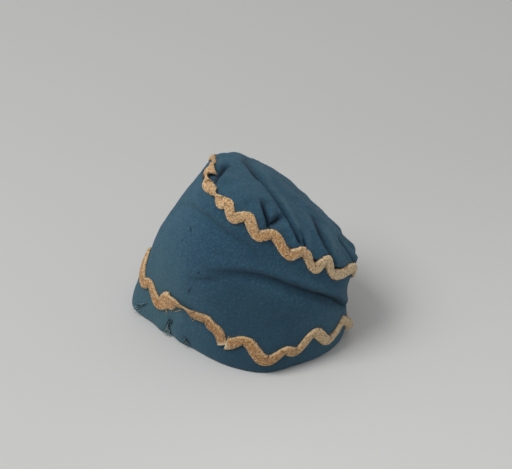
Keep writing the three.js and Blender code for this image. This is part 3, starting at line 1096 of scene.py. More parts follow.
@dataclass(frozen=True)
class WoolFinish:
    """Napped wool cloth, dyed blue, faded in patches and worn on its folds, with painted shade and highlight
    there.
    """

    name: str = "faded_blue_wool"
    dye: Colour = (50, 84, 105)
    faded: Colour = (68, 102, 116)
    deep: Colour = (35, 62, 84)
    # Painted shade at the front, strongest below the side's main crease
    front_painted_shade: Colour = (36, 57, 71)
    sunned: Colour = (82, 110, 108)
    lint: Colour = (140, 150, 145)
    # Painted shade in creases and round holes, and painted highlight, partly wear, on fold ridges
    painted_fold_shading: Colour = (18, 29, 41)
    ridge_highlight_and_wear: Colour = (86, 116, 122)
    sheen_tint: Colour = (150, 180, 195)
    thread_pitch: float = 0.55
    thread_relief: float = 0.12

    def material(self) -> bpy.types.Material:
        """Makes the cloth's material.

        Returns:
            The new material.
        """
        graph = Graph(self.name, roughness=0.96, specular=0.12)
        graph.sheen(0.22, 0.55)
        graph.feed(graph.shader.inputs["Sheen Tint"], self.sheen_tint)
        places = graph.places()
        cloth = graph.cloth_map()
        patches = graph.spread(graph.noise(places, 26, 3, 0.55), 0.38, 0.72, 0.55)
        colour = graph.mix(patches, self.dye, self.faded)
        blotches = graph.spread(graph.noise(places, 240, 5, 0.7), 0.35, 0.68, 0.4)
        colour = graph.mix(blotches, colour, self.deep)
        drawn_out = graph.stretched(cloth, (1.4, 0.12, 1.0))
        streaks = graph.spread(graph.noise(drawn_out, 1.0, 3, 0.6), 0.35, 0.7, 0.3)
        colour = graph.mix(streaks, colour, self.deep)
        colour = graph.mix(graph.part("worn", 0.5), colour, self.faded)
        colour = graph.mix(graph.part("sunned", 0.7), colour, self.sunned)
        nap = graph.noise(cloth, 1.3, 6, 0.75)
        colour = graph.mix(graph.spread(nap, 0.36, 0.68, 0.65), colour, self.deep)
        tufts = graph.spread(graph.noise(cloth, 0.75, 5, 0.7), 0.46, 0.68, 0.62)
        colour = graph.mix(tufts, colour, self.faded)
        # Painted shade at the front, in creases and round holes (partly soiling), and painted highlight on
        # ridges
        colour = graph.mix(graph.part("front_painted_shade", 0.55), colour, self.front_painted_shade)
        colour = graph.mix(graph.part("painted_fold_shading", -0.6), colour, self.ridge_highlight_and_wear)
        colour = graph.mix(graph.part("painted_fold_shading", 0.9), colour, self.painted_fold_shading)
        colour = graph.mix(graph.attribute("soil_and_hole_shade"), colour, self.painted_fold_shading)
        flecks = graph.spread(graph.noise(cloth, 0.9, 2, 0.4), 0.735, 0.78, 0.35)
        colour = graph.mix(flecks, colour, self.lint)
        turn = math.tau / self.thread_pitch
        warp = graph.math(Sum.SINE, graph.math(Sum.MULTIPLY, graph.axis(cloth, Axis.X), turn))
        weft = graph.math(Sum.SINE, graph.math(Sum.MULTIPLY, graph.axis(cloth, Axis.Y), turn))
        weave = graph.math(Sum.MULTIPLY, warp, weft)
        fuzz = graph.math(Sum.MULTIPLY_ADD, weave, self.thread_relief, nap)
        normal = graph.bump(fuzz, 0.55, 0.35)
        normal = graph.bump(graph.noise(cloth, 0.28, 4, 0.6), 0.5, 0.9, normal)
        return graph.finish(colour, normal)


@dataclass(frozen=True)
class BraidFinish:
    """Plaited tan braid with paler edges and a speckled, darker middle."""

    name: str = "tan_waved_braid"
    edge: Colour = (226, 196, 154)
    middle: Colour = (192, 140, 88)
    speckle: Colour = (104, 70, 38)
    grey: Colour = (172, 148, 112)
    browned: Colour = (124, 92, 58)
    greyed: Colour = (224, 208, 174)
    cut: Colour = (214, 196, 160)
    # Painted shade inside the braid's bends, where it bunches up
    bunched: Colour = (84, 60, 38)
    plait_pitch: float = 0.85
    plait_slant: float = 0.64
    plait_relief: float = 0.3

    def material(self) -> bpy.types.Material:
        """Makes the braid's material.

        Returns:
            The new material.
        """
        graph = Graph(self.name, roughness=0.88, specular=0.2)
        graph.sheen(0.1, 0.5)
        places = graph.places()
        cloth = graph.cloth_map()
        along = graph.axis(cloth, Axis.X)
        across = graph.math(Sum.ABSOLUTE, graph.axis(cloth, Axis.Y))
        middle = graph.mix(graph.part("browned", 0.3), self.middle, self.browned)
        middle = graph.mix(graph.part("greyed", 0.8), middle, self.greyed)
        middle = graph.mix(graph.part("paled", 0.45), middle, self.edge)
        pale = graph.spread(graph.noise(cloth, 0.7, 3, 0.6), 0.48, 0.62, 0.8)
        middle = graph.mix(graph.math(Sum.MULTIPLY, pale, 0.9), middle, self.edge)
        ragged = graph.math(Sum.ADD, across, graph.math(Sum.MULTIPLY, graph.noise(cloth, 1.1, 3, 0.7), 2.4))
        colour = graph.mix(graph.spread(ragged, 2.7, 3.5, 0.75), middle, self.edge)
        stains = graph.spread(graph.noise(places, 60, 4, 0.6), 0.42, 0.7, 0.3)
        colour = graph.mix(stains, colour, self.grey)
        soot = graph.mix(graph.part("browned", 0.25), colour, self.browned)
        speckles = graph.spread(graph.noise(cloth, 1.15, 4, 0.7), 0.47, 0.66, 0.9)
        colour = graph.mix(speckles, soot, self.speckle)
        colour = graph.mix(graph.attribute("cut"), colour, self.cut)
        # Painted shade inside the bends, where the braid bunches up
        colour = graph.mix(graph.part("painted_fold_shading", 0.75), colour, self.bunched)
        slant = graph.math(Sum.MULTIPLY_ADD, across, self.plait_slant, along)
        plait = graph.math(Sum.SINE, graph.math(Sum.MULTIPLY, slant, math.tau / self.plait_pitch))
        strands = graph.math(Sum.MULTIPLY_ADD, plait, self.plait_relief, graph.noise(cloth, 2.6, 5, 0.65))
        return graph.finish(colour, graph.bump(strands, 0.7, 0.4))


@dataclass(frozen=True)
class ThreadFinish:
    """Loose spun thread."""

    name: str
    colour: Colour
    shade: Colour

    def material(self) -> bpy.types.Material:
        """Makes the thread's material.

        Returns:
            The new material.
        """
        graph = Graph(self.name, roughness=0.85)
        speckles = graph.noise(graph.places(), 900, 3)
        colour = graph.mix(graph.spread(speckles, 0.35, 0.65), self.colour, self.shade)
        return graph.finish(colour, graph.bump(speckles, 0.4, 0.1))


@dataclass(frozen=True)
class FloorFinish:
    """Smooth pale paper, with painted shade of the light's falloff: darker towards the back and the left."""

    name: str = "pale_paper_painted_falloff"
    colour: Colour = (209, 209, 208)
    # Painted shade of the light's falloff
    painted_falloff_shade: Colour = (195, 195, 194)

    def material(self) -> bpy.types.Material:
        """Makes the floor's material.

        Returns:
            The new material.
        """
        graph = Graph(self.name, roughness=0.9, specular=0.1)
        # Painted shade of the light's falloff towards the back and the left
        back = graph.spread(graph.axis(graph.places(), Axis.Y), -0.14, 0.2)
        left = graph.spread(graph.axis(graph.places(), Axis.X), 0.03, -0.12, 0.7)
        return graph.finish(graph.mix(left, graph.mix(back, self.colour, self.painted_falloff_shade), self.painted_falloff_shade))


def front_columns(share: Array) -> Array:
    """Angles of the cloth's columns, which are closer together at the front left.

    Args:
        share: Shares of a full turn.

    Returns:
        Angles round the cap.
    """
    turn = share * math.tau
    closest = math.radians(CLOSEST_DEG)
    return np.degrees(turn - CLOSENESS * (np.sin(turn - closest) + math.sin(closest)))


@dataclass
class ClothPiece:
    """A piece of the cap's cloth, made as one sheet with its columns round the cap and its rows up it."""

    cloth: CapCloth
    material: bpy.types.Material

    def heights(self, deg: Array, share: Array) -> tuple[Array, Array]:
        """Where a row runs.

        Args:
            deg: Angles round the cap.
            share: Shares of the way up the sheet's rows.

        Returns:
            The level, and the height over the cloth's outer face.
        """
        raise NotImplementedError

    def place(self, across: Array, share: Array) -> Array:
        """Points of the sheet's face.

        Args:
            across: Shares of the way across the sheet's columns.
            share: Shares of the way up the sheet's rows.

        Returns:
            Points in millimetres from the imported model's origin.
        """
        deg = front_columns(across)
        level, height = self.heights(deg, share)
        return self.cloth.on_cloth(deg, level, height)

    def creases(self, across: Array, share: Array) -> Array:
        """The painted shade of the folds at each point of the sheet, with painted highlight on their ridges.
        """
        deg = front_columns(across)
        return self.cloth.painted_fold_shading(deg, self.heights(deg, share)[0])


@dataclass
class SideBand(ClothPiece):
    """The tapering side of the cap, whose lower edge is folded up inside as a hem."""

    columns: int = 440
    hem_rows: int = 7
    fold_rows: int = 6
    side_rows: int = 90
    hole_raggedness: float = 0.3
    hole_depth: float = 5.0
    hole_margin: float = 0.8
    # How dark the soiling and the painted shade round the holes and on the thin dark places are
    soil_and_hole_shade_depth: float = 0.8
    sunned_deg: float = 195.0
    sunned_spread: float = 32.0
    # Where painted shade lies at the front, strongest below the main crease
    front_painted_shade_deg: float = 276.0
    front_painted_shade_spread: float = 34.0
    worn_deg: float = 318.0
    worn_spread: float = 16.0

    def rows(self) -> int:
        """All the rows of the sheet, from its raw edge inside the hem up to the crown seam."""
        return self.hem_rows + self.fold_rows + self.side_rows

    def heights(self, deg: Array, share: Array) -> tuple[Array, Array]:
        """Where a row runs: up inside the hem, round its fold, and up the side.

        Args:
            deg: Angles round the cap.
            share: Shares of the way up the sheet's rows.

        Returns:
            The level, and the height over the cloth's outer face.
        """
        radius = (CLOTH_THICKNESS + HEM_LAYER) / 2
        row = share * self.rows()
        inside = np.clip(1 - row / self.hem_rows, 0, 1)
        round_fold = np.clip((row - self.hem_rows) / self.fold_rows, 0, 1) * math.pi
        outside = np.clip((row - self.hem_rows - self.fold_rows) / self.side_rows, 0, 1)
        up = np.where(inside > 0, lerp(radius, HEM_DEPTH, inside), radius * (1 - np.sin(round_fold)))
        low = self.cloth.climb(deg, 0.0, up)
        start = self.cloth.climb(deg, 0.0, radius)
        top = self.cloth.climb(deg, 1.0, -0.2)
        level = np.where(outside > 0, lerp(start, top, outside), low)
        return level, -radius * (1 + np.cos(round_fold))

    def texture(self, across: Array, share: Array) -> Array:
        """The side's thread lines in millimetres."""
        deg = front_columns(across)
        return self.cloth.side_chart(deg, self.heights(deg, share)[0])

    def hole_shares(self, points: Array, k: int, margin: float) -> Array:
        """How far points are from the middle of a hole.

        Args:
            points: Points in millimetres from the middle of the opening.
            k: The hole's row in HOLES.
            margin: How much the hole is grown, in millimetres.

        Returns:
            0 at the hole's middle, 1 at its grown edge, and infinity far in front of it or behind it.
        """
        deg = np.array([HOLES["deg"][k]])
        level = HOLES["up"][k] / self.cloth.seam(deg)[:, 2]
        offset = points - (self.cloth.on_cloth(deg, level) - ORIGIN)[0]
        turn = math.radians(HOLES["turn"][k])
        level_way = outward(deg + 90)[0]
        along = offset @ (math.cos(turn) * level_way + math.sin(turn) * UPRIGHT)
        aside = offset @ (math.cos(turn) * UPRIGHT - math.sin(turn) * level_way)
        half_length = HOLES["half_length"][k] + margin
        half_width = HOLES["half_width"][k] + margin
        share = np.hypot(along / half_length, aside / half_width)
        return np.where(np.abs(offset @ outward(deg)[0]) < self.hole_depth, share, np.inf)

    def open_holes(self, mesh: bmesh.types.BMesh) -> None:
        """Takes out the faces inside the holes, after cutting the ones round all the marks finer.

        Args:
            mesh: The side's mesh, in metres.
        """

        def centres() -> Array:
            """The middles of the mesh's faces, in millimetres."""
            return np.array([face.calc_center_median() for face in mesh.faces]) / MM - ORIGIN

        holes = range(len(HOLES["deg"]))
        near = np.min([self.hole_shares(centres(), k, self.hole_margin) for k in holes], axis=0)
        faces = [face for face, share in zip(mesh.faces, near) if share < 1]
        edges = list({edge for face in faces for edge in face.edges})
        bmesh.ops.subdivide_edges(mesh, edges=edges, cuts=2, use_grid_fill=True)
        draw = np.random.default_rng(11)
        middles = centres()
        inside = np.zeros(len(middles), bool)
        for k in np.nonzero(HOLES["through"])[0]:
            share = self.hole_shares(middles, k, 0.0)
            inside |= share + self.hole_raggedness * draw.uniform(-1, 1, len(share)) < 1
        gone = [face for face, lost in zip(mesh.faces, inside) if lost]
        bmesh.ops.delete(mesh, geom=gone, context="FACES")

    def build(self) -> Piece:
        """Makes the side, its marks of wear and its painted shade.

        Returns:
            The side as one piece.
        """
        sheet = Sheet("side_cloth", self.columns, self.rows())
        mesh = sheet.build(self.place, self.texture, self.creases)
        bmesh.ops.remove_doubles(mesh, verts=mesh.verts, dist=0.002 * MM)
        self.open_holes(mesh)
        piece = finished(sheet.name, mesh, self.material)
        points = vertex_points(piece)
        deg = angles_of(points)
        up = points[:, 2]
        level = up / self.cloth.seam(deg)[:, 2]
        left = hump(deg, self.sunned_deg, self.sunned_spread)
        # Painted shade at the front, strongest below the main crease
        middle = hump(deg, self.front_painted_shade_deg, self.front_painted_shade_spread)
        right = hump(deg, self.worn_deg, self.worn_spread) * smoothstep(level, 0.75, 0.5)
        give_attribute(piece, "sunned", left * smoothstep(up, 55, 10) * 0.7)
        give_attribute(piece, "worn", np.exp(-up / 3) + 0.5 * left + 0.7 * right)
        # Soiling and painted shade round the holes
        give_attribute(piece, "soil_and_hole_shade", self.soil_and_hole_shading(points))
        give_attribute(piece, "front_painted_shade", middle * (0.4 + 0.6 * smoothstep(level, 0.8, 0.68)))
        give_wall(piece, HEM_LAYER)
        return piece

    def soil_and_hole_shading(self, points: Array) -> Array:
        """How dark the cloth is on its worn marks and round its holes, from soiling and painted shade.

        Args:
            points: Points in millimetres from the middle of the opening.

        Returns:
            Shares from 0 up, for each point.
        """
        dark = np.zeros(len(points))
        for k in range(len(HOLES["deg"])):
            share = self.hole_shares(points, k, 0.5 * HOLES["through"][k])
            dark = np.maximum(dark, self.soil_and_hole_shade_depth * np.exp(-(share**3)))
        return dark


@dataclass
class Crown(ClothPiece):
    """The puffed crown, gathered into the top of the side, with its seam lap inside."""

    columns: int = 420
    lap_rows: int = 10
    crown_rows: int = 84
    turn_length: float = 1.4

    def rows(self) -> int:
        """All the rows of the sheet, from its raw edge inside the side to the crown's middle."""
        return self.lap_rows + self.crown_rows

    def heights(self, deg: Array, share: Array) -> tuple[Array, Array]:
        """Where a row runs: up inside the side, out over its top edge, and up the crown.

        Args:
            deg: Angles round the cap.
            share: Shares of the way up the sheet's rows.

        Returns:
            The level, and the height over the cloth's outer face.
        """
        row = share * self.rows()
        lap = np.clip(row / self.lap_rows, 0, 1)
        crown = np.clip((row - self.lap_rows) / self.crown_rows, 0, 1)
        up = lerp(-SEAM_LAP, self.turn_length, lap)
        low = self.cloth.climb(deg, 1.0, up)
        start = self.cloth.climb(deg, 1.0, self.turn_length)
        level = np.where(crown > 0, lerp(start, 2.0, crown), low)
        inner = -CLOTH_THICKNESS - LAP_GAP
        height = inner * (1 - smoothstep(up, 0.0, self.turn_length)) * (crown <= 0)
        return level, height

    def texture(self, across: Array, share: Array) -> Array:
        """The crown's thread lines in millimetres: straight across it, as on a cut round.

        Args:
            across: Shares of the way across the sheet's columns.
            share: Shares of the way up the sheet's rows.

        Returns:
            Texture coordinates for each point.
        """
        deg = front_columns(across)
        level = self.heights(deg, share)[0]
        below = np.maximum(0, 1 - level) * SEAM_CENTRE[2]
        return self.cloth.crown_chart(deg, self.cloth.reach(level) + below / (SEAM_LENGTH / 2))

    def build(self) -> Piece:
        """Makes the crown.

        Returns:
            The crown as one piece.
        """
        sheet = Sheet("crown_cloth", self.columns, self.rows())
        mesh = sheet.build(self.place, self.texture, self.creases)
        bmesh.ops.remove_doubles(mesh, verts=mesh.verts, dist=0.002 * MM)
        piece = finished(sheet.name, mesh, self.material)
        points = vertex_points(piece)
        along = (points - SEAM_CENTRE) @ self.cloth.downhill
        give_attribute(piece, "sunned", 0.1 * smoothstep(along, 10, 40))
        give_attribute(piece, "worn", 0.5 * smoothstep(-along, -10, 35) + 0.8 * smoothstep(along, -4, 22))
        give_attribute(piece, "soil_and_hole_shade", np.zeros(len(points)))
        give_attribute(piece, "front_painted_shade", np.zeros(len(points)))
        give_wall(piece, CLOTH_THICKNESS)
        return piece


@dataclass
class WavedBraid:
    """A flat plaited braid in waves, laid along a line on the cloth."""

    name: str
    cloth: CapCloth
    material: bpy.types.Material
    turns: dict[str, Array]
    base_level: float
    closed: bool
    cut_short: float = 0.0
    steps: int = 1700
    around: int = 24

    # How it lies on the cloth, and how it is worked
    usual_per_degree: float = 0.72
    lift_off: float = 0.3
    roll_lift: float = 0.8
    cord_place: float = 0.7
    cord_spread: float = 0.24
    strand_pitch: float = 1.1
    strand_height: float = 0.1
    edge_unevenness: float = 0.16

    # How far it is bunched up in its bends and frayed at its cuts, and where it is browned
    bend_reach: float = 0.9
    bend_squeeze: float = 0.45
    cut_reach: float = 1.1
    browned_deg: float = 242.0
    browned_spread: float = 24.0
    front_deg: float = 278.0
    front_spread: float = 18.0

    def wave(self, name: str, deg: Array) -> Array:
        """A column of the turning points, on smooth waves from each one to the next.

        Args:
            name: The column's name.
            deg: Angles round the cap.

        Returns:
            The column's value at each angle.
        """
        degs = self.turns["deg"]
        values = self.turns[name]
        at = np.clip(deg, degs[0], degs[-1])
        i = np.clip(np.searchsorted(degs, at, side="left"), 1, len(degs) - 1)
        t = (at - degs[i - 1]) / (degs[i] - degs[i - 1])
        return lerp(values[i - 1], values[i], (1 - np.cos(math.pi * t)) / 2)

    def angles(self, share: Array) -> Array:
        """Angles round the cap for shares of the braid's run, which may stop short of the last turn."""
        return lerp(self.turns["deg"][0], self.turns["deg"][-1] - self.cut_short, share)

    def profile(self, around: Array) -> tuple[Array, Array]:
        """The braid's cross-section, a little thicker in a cord along each edge.

        Args:
            around: Shares of the way round its cross-section.

        Returns:
            How far across the points are, from -1 to 1, and how far up, in shares of the thickness.
        """
        turn = around * -math.tau
        across = np.sign(np.cos(turn)) * np.abs(np.cos(turn)) ** 0.8
        edge_cord = hump(np.abs(across), self.cord_place, self.cord_spread)
        top = (0.92 + 0.08 * edge_cord) * np.abs(np.sin(turn)) ** 0.65
        return across, np.where(np.sin(turn) >= 0, top, 0.12 * edge_cord - 0.12)

    @staticmethod
    def uneven(length: Array, phase: Array | float) -> Array:
        """How unevenly the braid is worked along its length: mostly between -1 and 1."""
        waves = ((1.3, 0.3), (2.9, 0.3), (5.3, 0.25), (8.7, 0.15))
        return sum(share * np.sin(pitch * length + phase * (1 + pitch)) for pitch, share in waves)

    def place(self, share: Array, around: Array) -> Array:
        """Points of the braid's skin.

        Args:
            share: Shares of the braid's run.
            around: Shares of the way round its cross-section.

        Returns:
            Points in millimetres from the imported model's origin.
        """
        deg = self.angles(share)
        across, up = self.profile(around)
        lift = self.wave("lift", deg)
        level = self.cloth.climb(deg, self.base_level, lift)
        per_degree = np.linalg.norm(
            self.cloth.unfolded(deg + 1, level) - self.cloth.unfolded(deg, level), axis=-1
        )
        slope = (self.wave("lift", deg + 0.5) - self.wave("lift", deg - 0.5)) / per_degree
        lean = np.arctan(slope)
        half = BRAID_WIDTH / 2 * self.wave("width", deg)
        roll = np.radians(self.wave("roll", deg))
        length = self.lengths(share)
        plaited = 0.5 * np.sin(length * (math.tau / self.strand_pitch) + 2.2 * np.abs(across))
        strand = plaited + self.uneven(length, 2.0 + across)
        edge = half + self.edge_unevenness * self.uneven(length, 1.0 + np.sign(across))
        aside = edge * across * np.cos(roll)
        raised = edge * (across * np.sin(roll) + np.abs(np.sin(roll)) * self.roll_lift)
        corner = deg - aside * np.sin(lean) / per_degree
        level = self.cloth.climb(corner, self.base_level, lift + aside * np.cos(lean))
        flattened = 0.5 + 0.5 * np.minimum(self.wave("width", deg), 1)
        skin = BRAID_THICKNESS * flattened * up + np.where(up > 0, self.strand_height * strand * up, 0)
        bunched = self.bends(deg, across, per_degree)
        height = self.lift_off * (1 - bunched) + raised + skin * (1 - self.bend_squeeze * bunched)
        return self.cloth.on_cloth(corner, level, height)

    def bends(self, deg: Array, across: Array, per_degree: Array | float) -> Array:
        """How bunched up the braid is inside its bends.

        Args:
            deg: Angles round the cap.
            across: How far across the braid the points are, from -1 to 1.
            per_degree: Millimetres along the cloth for each degree.

        Returns:
            From 0 where it lies flat to 1 where it is bunched up most.
        """
        lifts = self.turns["lift"]
        bunched = np.zeros(len(deg))
        for k in range(1, len(lifts) - 1):
            before = lifts[k - 1] - lifts[k]
            after = lifts[k + 1] - lifts[k]
            if before * after <= 0:
                continue
            along = (deg - self.turns["deg"][k]) * per_degree
            inner = smoothstep(across * np.sign(before), 0.1, 1.0)
            bunched = np.maximum(bunched, inner * hump(along, 0, self.bend_reach))
        return bunched

    def lengths(self, share: Array) -> Array:
        """Millimetres along the braid's waves, for its plaiting.

        Args:
            share: Shares of the braid's run.

        Returns:
            Millimetres from the braid's start.
        """
        fine = np.linspace(0, 1, self.steps)
        deg = self.angles(fine)
        level = self.cloth.climb(deg, self.base_level, self.wave("lift", deg))
        line = self.cloth.unfolded(deg, level)
        run = np.concatenate([[0], np.cumsum(np.linalg.norm(np.diff(line, axis=0), axis=1))])
        return np.interp(share, fine, run)

    def texture(self, share: Array, around: Array) -> Array:
        """Millimetres along the braid and across it."""
        across = self.profile(around)[0]
        return np.stack([self.lengths(share), across * BRAID_WIDTH / 2], axis=-1)

    def creases(self, share: Array, around: Array) -> Array:
        """How bunched up each point of the skin is, which sets the painted shade in the braid's bends."""
        return self.bends(self.angles(share), self.profile(around)[0], self.usual_per_degree)

    def build(self) -> Piece:
        """Makes the braid.

        Returns:
            The braid as one piece.
        """
        sheet = Sheet(self.name, self.steps, self.around)
        mesh = sheet.build(self.place, self.texture, self.creases)
        marks = mesh.verts.layers.float.new("cut")
        bmesh.ops.remove_doubles(mesh, verts=mesh.verts, dist=0.004 * MM)
        layer = mesh.loops.layers.uv["cloth"]
        if not self.closed:
            total = float(self.lengths(np.array([1.0]))[0])
            for vert in mesh.verts:
                along = vert.link_loops[0][layer].uv.x
                vert[marks] = math.exp(-((min(along, total - along) / self.cut_reach) ** 2))
            ends = [edge for edge in mesh.edges if edge.is_boundary]
            bmesh.ops.holes_fill(mesh, edges=ends, sides=0)
        bmesh.ops.recalc_face_normals(mesh, faces=mesh.faces)
        piece = finished(self.name, mesh, self.material)
        points = vertex_points(piece)
        deg = angles_of(points)
        up = points[:, 2]
        front_left = hump(deg, self.browned_deg, self.browned_spread) * smoothstep(up, 40, 25)
        front = hump(deg, self.front_deg, self.front_spread) * (up < 30)
        give_attribute(piece, "browned", front_left + 0.5 * front)
        give_attribute(piece, "greyed", smoothstep(points[:, 0], 12, 46))
        give_attribute(piece, "paled", smoothstep(up, 58, 74))
        return piece


def joined_turns(*parts: dict[str, Array]) -> dict[str, Array]:
    """Puts tables of turning points one after another."""
    return {name: np.concatenate([part[name] for part in parts]) for name in parts[0]}


def scaled_turns(turns: dict[str, Array], height: float, turned: float = 0.0) -> dict[str, Array]:
    """Turning points with their lifts in millimetres, moved on round the cap."""
    return {**turns, "lift": turns["lift"] * height, "deg": turns["deg"] + turned}


def even_waves(start: float, end: float, low: float, high: float) -> dict[str, Array]:
    """Turning points of even waves between two angles, about a line from low to high.

    Args:
        start: The angle that the waves start after.
        end: The angle that they end before.
        low: The line's height at the start, in millimetres.
        high: Its height at the end, in millimetres.

    Returns:
        A table of turning points, with lifts in millimetres.
    """
    radius = (OPENING_LENGTH + OPENING_WIDTH) / 4
    count = 2 * round(math.radians(end - start) * radius / BRAID_WAVE) - 1
    t = (np.arange(count) + 1) / (count + 1)
    swing = np.where(np.arange(count) % 2 == 1, -BRAID_SWING, BRAID_SWING)
    ones = np.ones(count)
    return {"deg": lerp(start, end, t), "lift": lerp(low, high, t) + swing, "width": ones, "roll": 0 * ones}


def upper_turns() -> dict[str, Array]:
    """The upper braid's turning points, all the way round to its first one again.

    Returns:
        A table of turning points, with lifts in millimetres.
    """
    front = scaled_turns(UPPER_TURNS, BRAID_SWING)
    closing = {name: values[:1] + (FULL_TURN if name == "deg" else 0) for name, values in front.items()}
    back = even_waves(front["deg"][-1], closing["deg"][0], -BRAID_DROP, 0)
    return joined_turns(front, back, closing)


def lower_turns() -> dict[str, Array]:
    """The lower braid's turning points, from one of its cut ends to the other.

    Returns:
        A table of turning points, with lifts in millimetres.
    """
    start = scaled_turns(LOWER_TURNS, BRAID_HEIGHT)
    end = scaled_turns(LOWER_TURNS_END, BRAID_HEIGHT, FULL_TURN)
    back = even_waves(
        start["deg"][-1], end["deg"][0], start["lift"][-1] + BRAID_SWING, end["lift"][0] + BRAID_SWING
    )
    return joined_turns(start, back, end)


@dataclass
class LooseThreads:
    """Short loose threads, each a fine bent tube."""

    name: str
    material: bpy.types.Material
    radius: float = 0.14
    sides: int = 5
    lengths: int = 8
    thinning: float = 0.6
    mesh: bmesh.types.BMesh = field(default_factory=bmesh.new)

    def add(self, path: Array) -> None:
        """Adds a thread.

        Args:
            path: Points along it, in millimetres.
        """
        fine = np.linspace(0, 1, self.lengths + 1)
        given = np.linspace(0, 1, len(path))
        line = np.stack([np.interp(fine, given, path[:, k]) for k in range(3)], axis=1)
        way = np.gradient(line, axis=0)
        way /= np.maximum(np.linalg.norm(way, axis=1, keepdims=True), 1e-9)
        side = np.cross(way, [0.31, 0.52, 0.79])
        side /= np.maximum(np.linalg.norm(side, axis=1, keepdims=True), 1e-9)
        other = np.cross(way, side)
        made = bmesh.ops.create_grid(self.mesh, x_segments=self.lengths, y_segments=self.sides, size=0.5)
        verts = made["verts"]
        for vert in verts:
            i = round((vert.co.x + 0.5) * self.lengths)
            turn = -(vert.co.y + 0.5) * math.tau
            thin = self.radius * (1 - self.thinning * (i / self.lengths) ** 3)
            vert.co = (line[i] + thin * (math.cos(turn) * side[i] + math.sin(turn) * other[i])) * MM
        bmesh.ops.remove_doubles(self.mesh, verts=verts, dist=0.001 * MM)

    def build(self) -> Piece:
        """Closes the threads' ends and makes the piece.

        Returns:
            All the threads as one piece.
        """
        ends = [edge for edge in self.mesh.edges if edge.is_boundary]
        bmesh.ops.holes_fill(self.mesh, edges=ends, sides=0)
        bmesh.ops.recalc_face_normals(self.mesh, faces=self.mesh.faces)
        return finished(self.name, self.mesh, self.material)


@dataclass
class Studio:
    """The floor, the light and the camera."""

    # Places and sizes are in metres here
    target: tuple[float, float, float] = (0.0056, 0.0010, 0.0446)
    elevation: float = 33.0
    distance: float = 0.9
    lens: float = 140.6
    window_place: tuple[float, float, float] = (-0.58, -0.3, 0.98)
    window_size: float = 0.6
    window_power: float = 7.4
    sky: float = 0.52
    floor_size: float = 3.0

    def floor(self) -> None:
        """Lays a wide pale floor."""
        mesh = bmesh.new()
        bmesh.ops.create_grid(mesh, x_segments=4, y_segments=4, size=self.floor_size)
        finished("floor", mesh, FloorFinish().material())

    def lamp(self, name: str, place: tuple[float, float, float], size: float, power: float) -> None:
        """Hangs a square soft light that points at the cap.

        Args:
            name: The light's name.
            place: Where it hangs, in metres.
            size: How long its sides are, in metres.
            power: Its power in watts.
        """
        light = bpy.data.lights.new(name, "AREA")
        light.size = size
        light.energy = power
        lamp = bpy.data.objects.new(name, light)
        lamp.location = place
        lamp.rotation_euler = (Vector(self.target) - Vector(place)).to_track_quat("-Z", "Y").to_euler()
        bpy.context.scene.collection.objects.link(lamp)

    def lights(self) -> None:
        """Sets a soft light from the upper left and an even light from all round."""
        self.lamp("soft_window", self.window_place, self.window_size, self.window_power)
        world = bpy.data.worlds.new("studio")
        world.use_nodes = True
        background = world.node_tree.nodes["Background"]
        background.inputs["Color"].default_value = (1.0, 1.0, 1.0, 1.0)
        background.inputs["Strength"].default_value = self.sky
        bpy.context.scene.world = world

    def camera(self) -> None:
        """Sets the camera at the photograph's angle."""
        data = bpy.data.cameras.new("camera")
        data.lens = self.lens
        data.clip_end = 20
        camera = bpy.data.objects.new("camera", data)
        tilt = math.radians(self.elevation)
        back = Vector((0.0, -math.cos(tilt), math.sin(tilt)))
        camera.location = Vector(self.target) + back * self.distance
        camera.rotation_euler = (math.pi / 2 - tilt, 0.0, 0.0)
        bpy.context.scene.collection.objects.link(camera)
        bpy.context.scene.camera = camera


def loose_threads(
    name: str, cloth: CapCloth, material: bpy.types.Material, rows: dict[str, Array]
) -> LooseThreads:
    """Threads that lie on the side or stand off it, each wavy in its own way.

    Args:
        name: The piece's name.
        cloth: The cloth that they lie on.
        material: Their material.
        rows: A table of where each one starts and ends.

    Returns:
        The threads, ready to build.
    """
    draw = np.random.default_rng(23)
    threads = LooseThreads(name, material)
    share = np.linspace(0, 1, threads.lengths + 1)
    for k in range(len(rows["deg"])):
        turns = draw.uniform(0.5, 1.2)
        start = draw.uniform(0, 6)
        wave = np.sin(share * math.tau * turns + start) - np.sin(draw.uniform(0, 6))
        deg = lerp(rows["deg"][k], rows["end_deg"][k], share) + 0.5 * wave * share
        up = lerp(rows["up"][k], rows["end_up"][k], share)
        level = cloth.climb(deg, 0.0, up)
        height = 0.2 + (rows["lift"][k] + 0.3 * wave) * share**1.5
        threads.add(cloth.on_cloth(deg, level, np.maximum(height, 0.1)))
    return threads


@dataclass
class Fuzz:
    """Short fine hairs that stand off a surface, each a thin spike."""

    name: str
    material: bpy.types.Material
    radius: float = 0.035
    tip: float = 0.25
    batch: int = 400

    def build(self, roots: Array, tips: Array) -> Piece:
        """Makes the hairs.

        Args:
            roots: Where each hair starts, in millimetres.
            tips: Where each hair ends, in millimetres.

        Returns:
            All the hairs as one piece.
        """
        whole = bmesh.new()
        for first in range(0, len(roots), self.batch):
            part = bmesh.new()
            for root, tip in zip(roots[first:first + self.batch], tips[first:first + self.batch]):
                way = Vector(tip - root)
                turned = way.to_track_quat("Z", "Y").to_matrix().to_4x4()
                turned.translation = Vector((root + tip) / 2 * MM)
                bmesh.ops.create_cone(
                    part,
                    cap_ends=False,
                    segments=3,
                    radius1=self.radius * MM,
                    radius2=self.tip * self.radius * MM,
                    depth=way.length * MM,
                    matrix=turned,
                )
            data = bpy.data.meshes.new("hairs")
            part.to_mesh(data)
            part.free()
            whole.from_mesh(data)
            bpy.data.meshes.remove(data)
        return finished(self.name, whole, self.material)


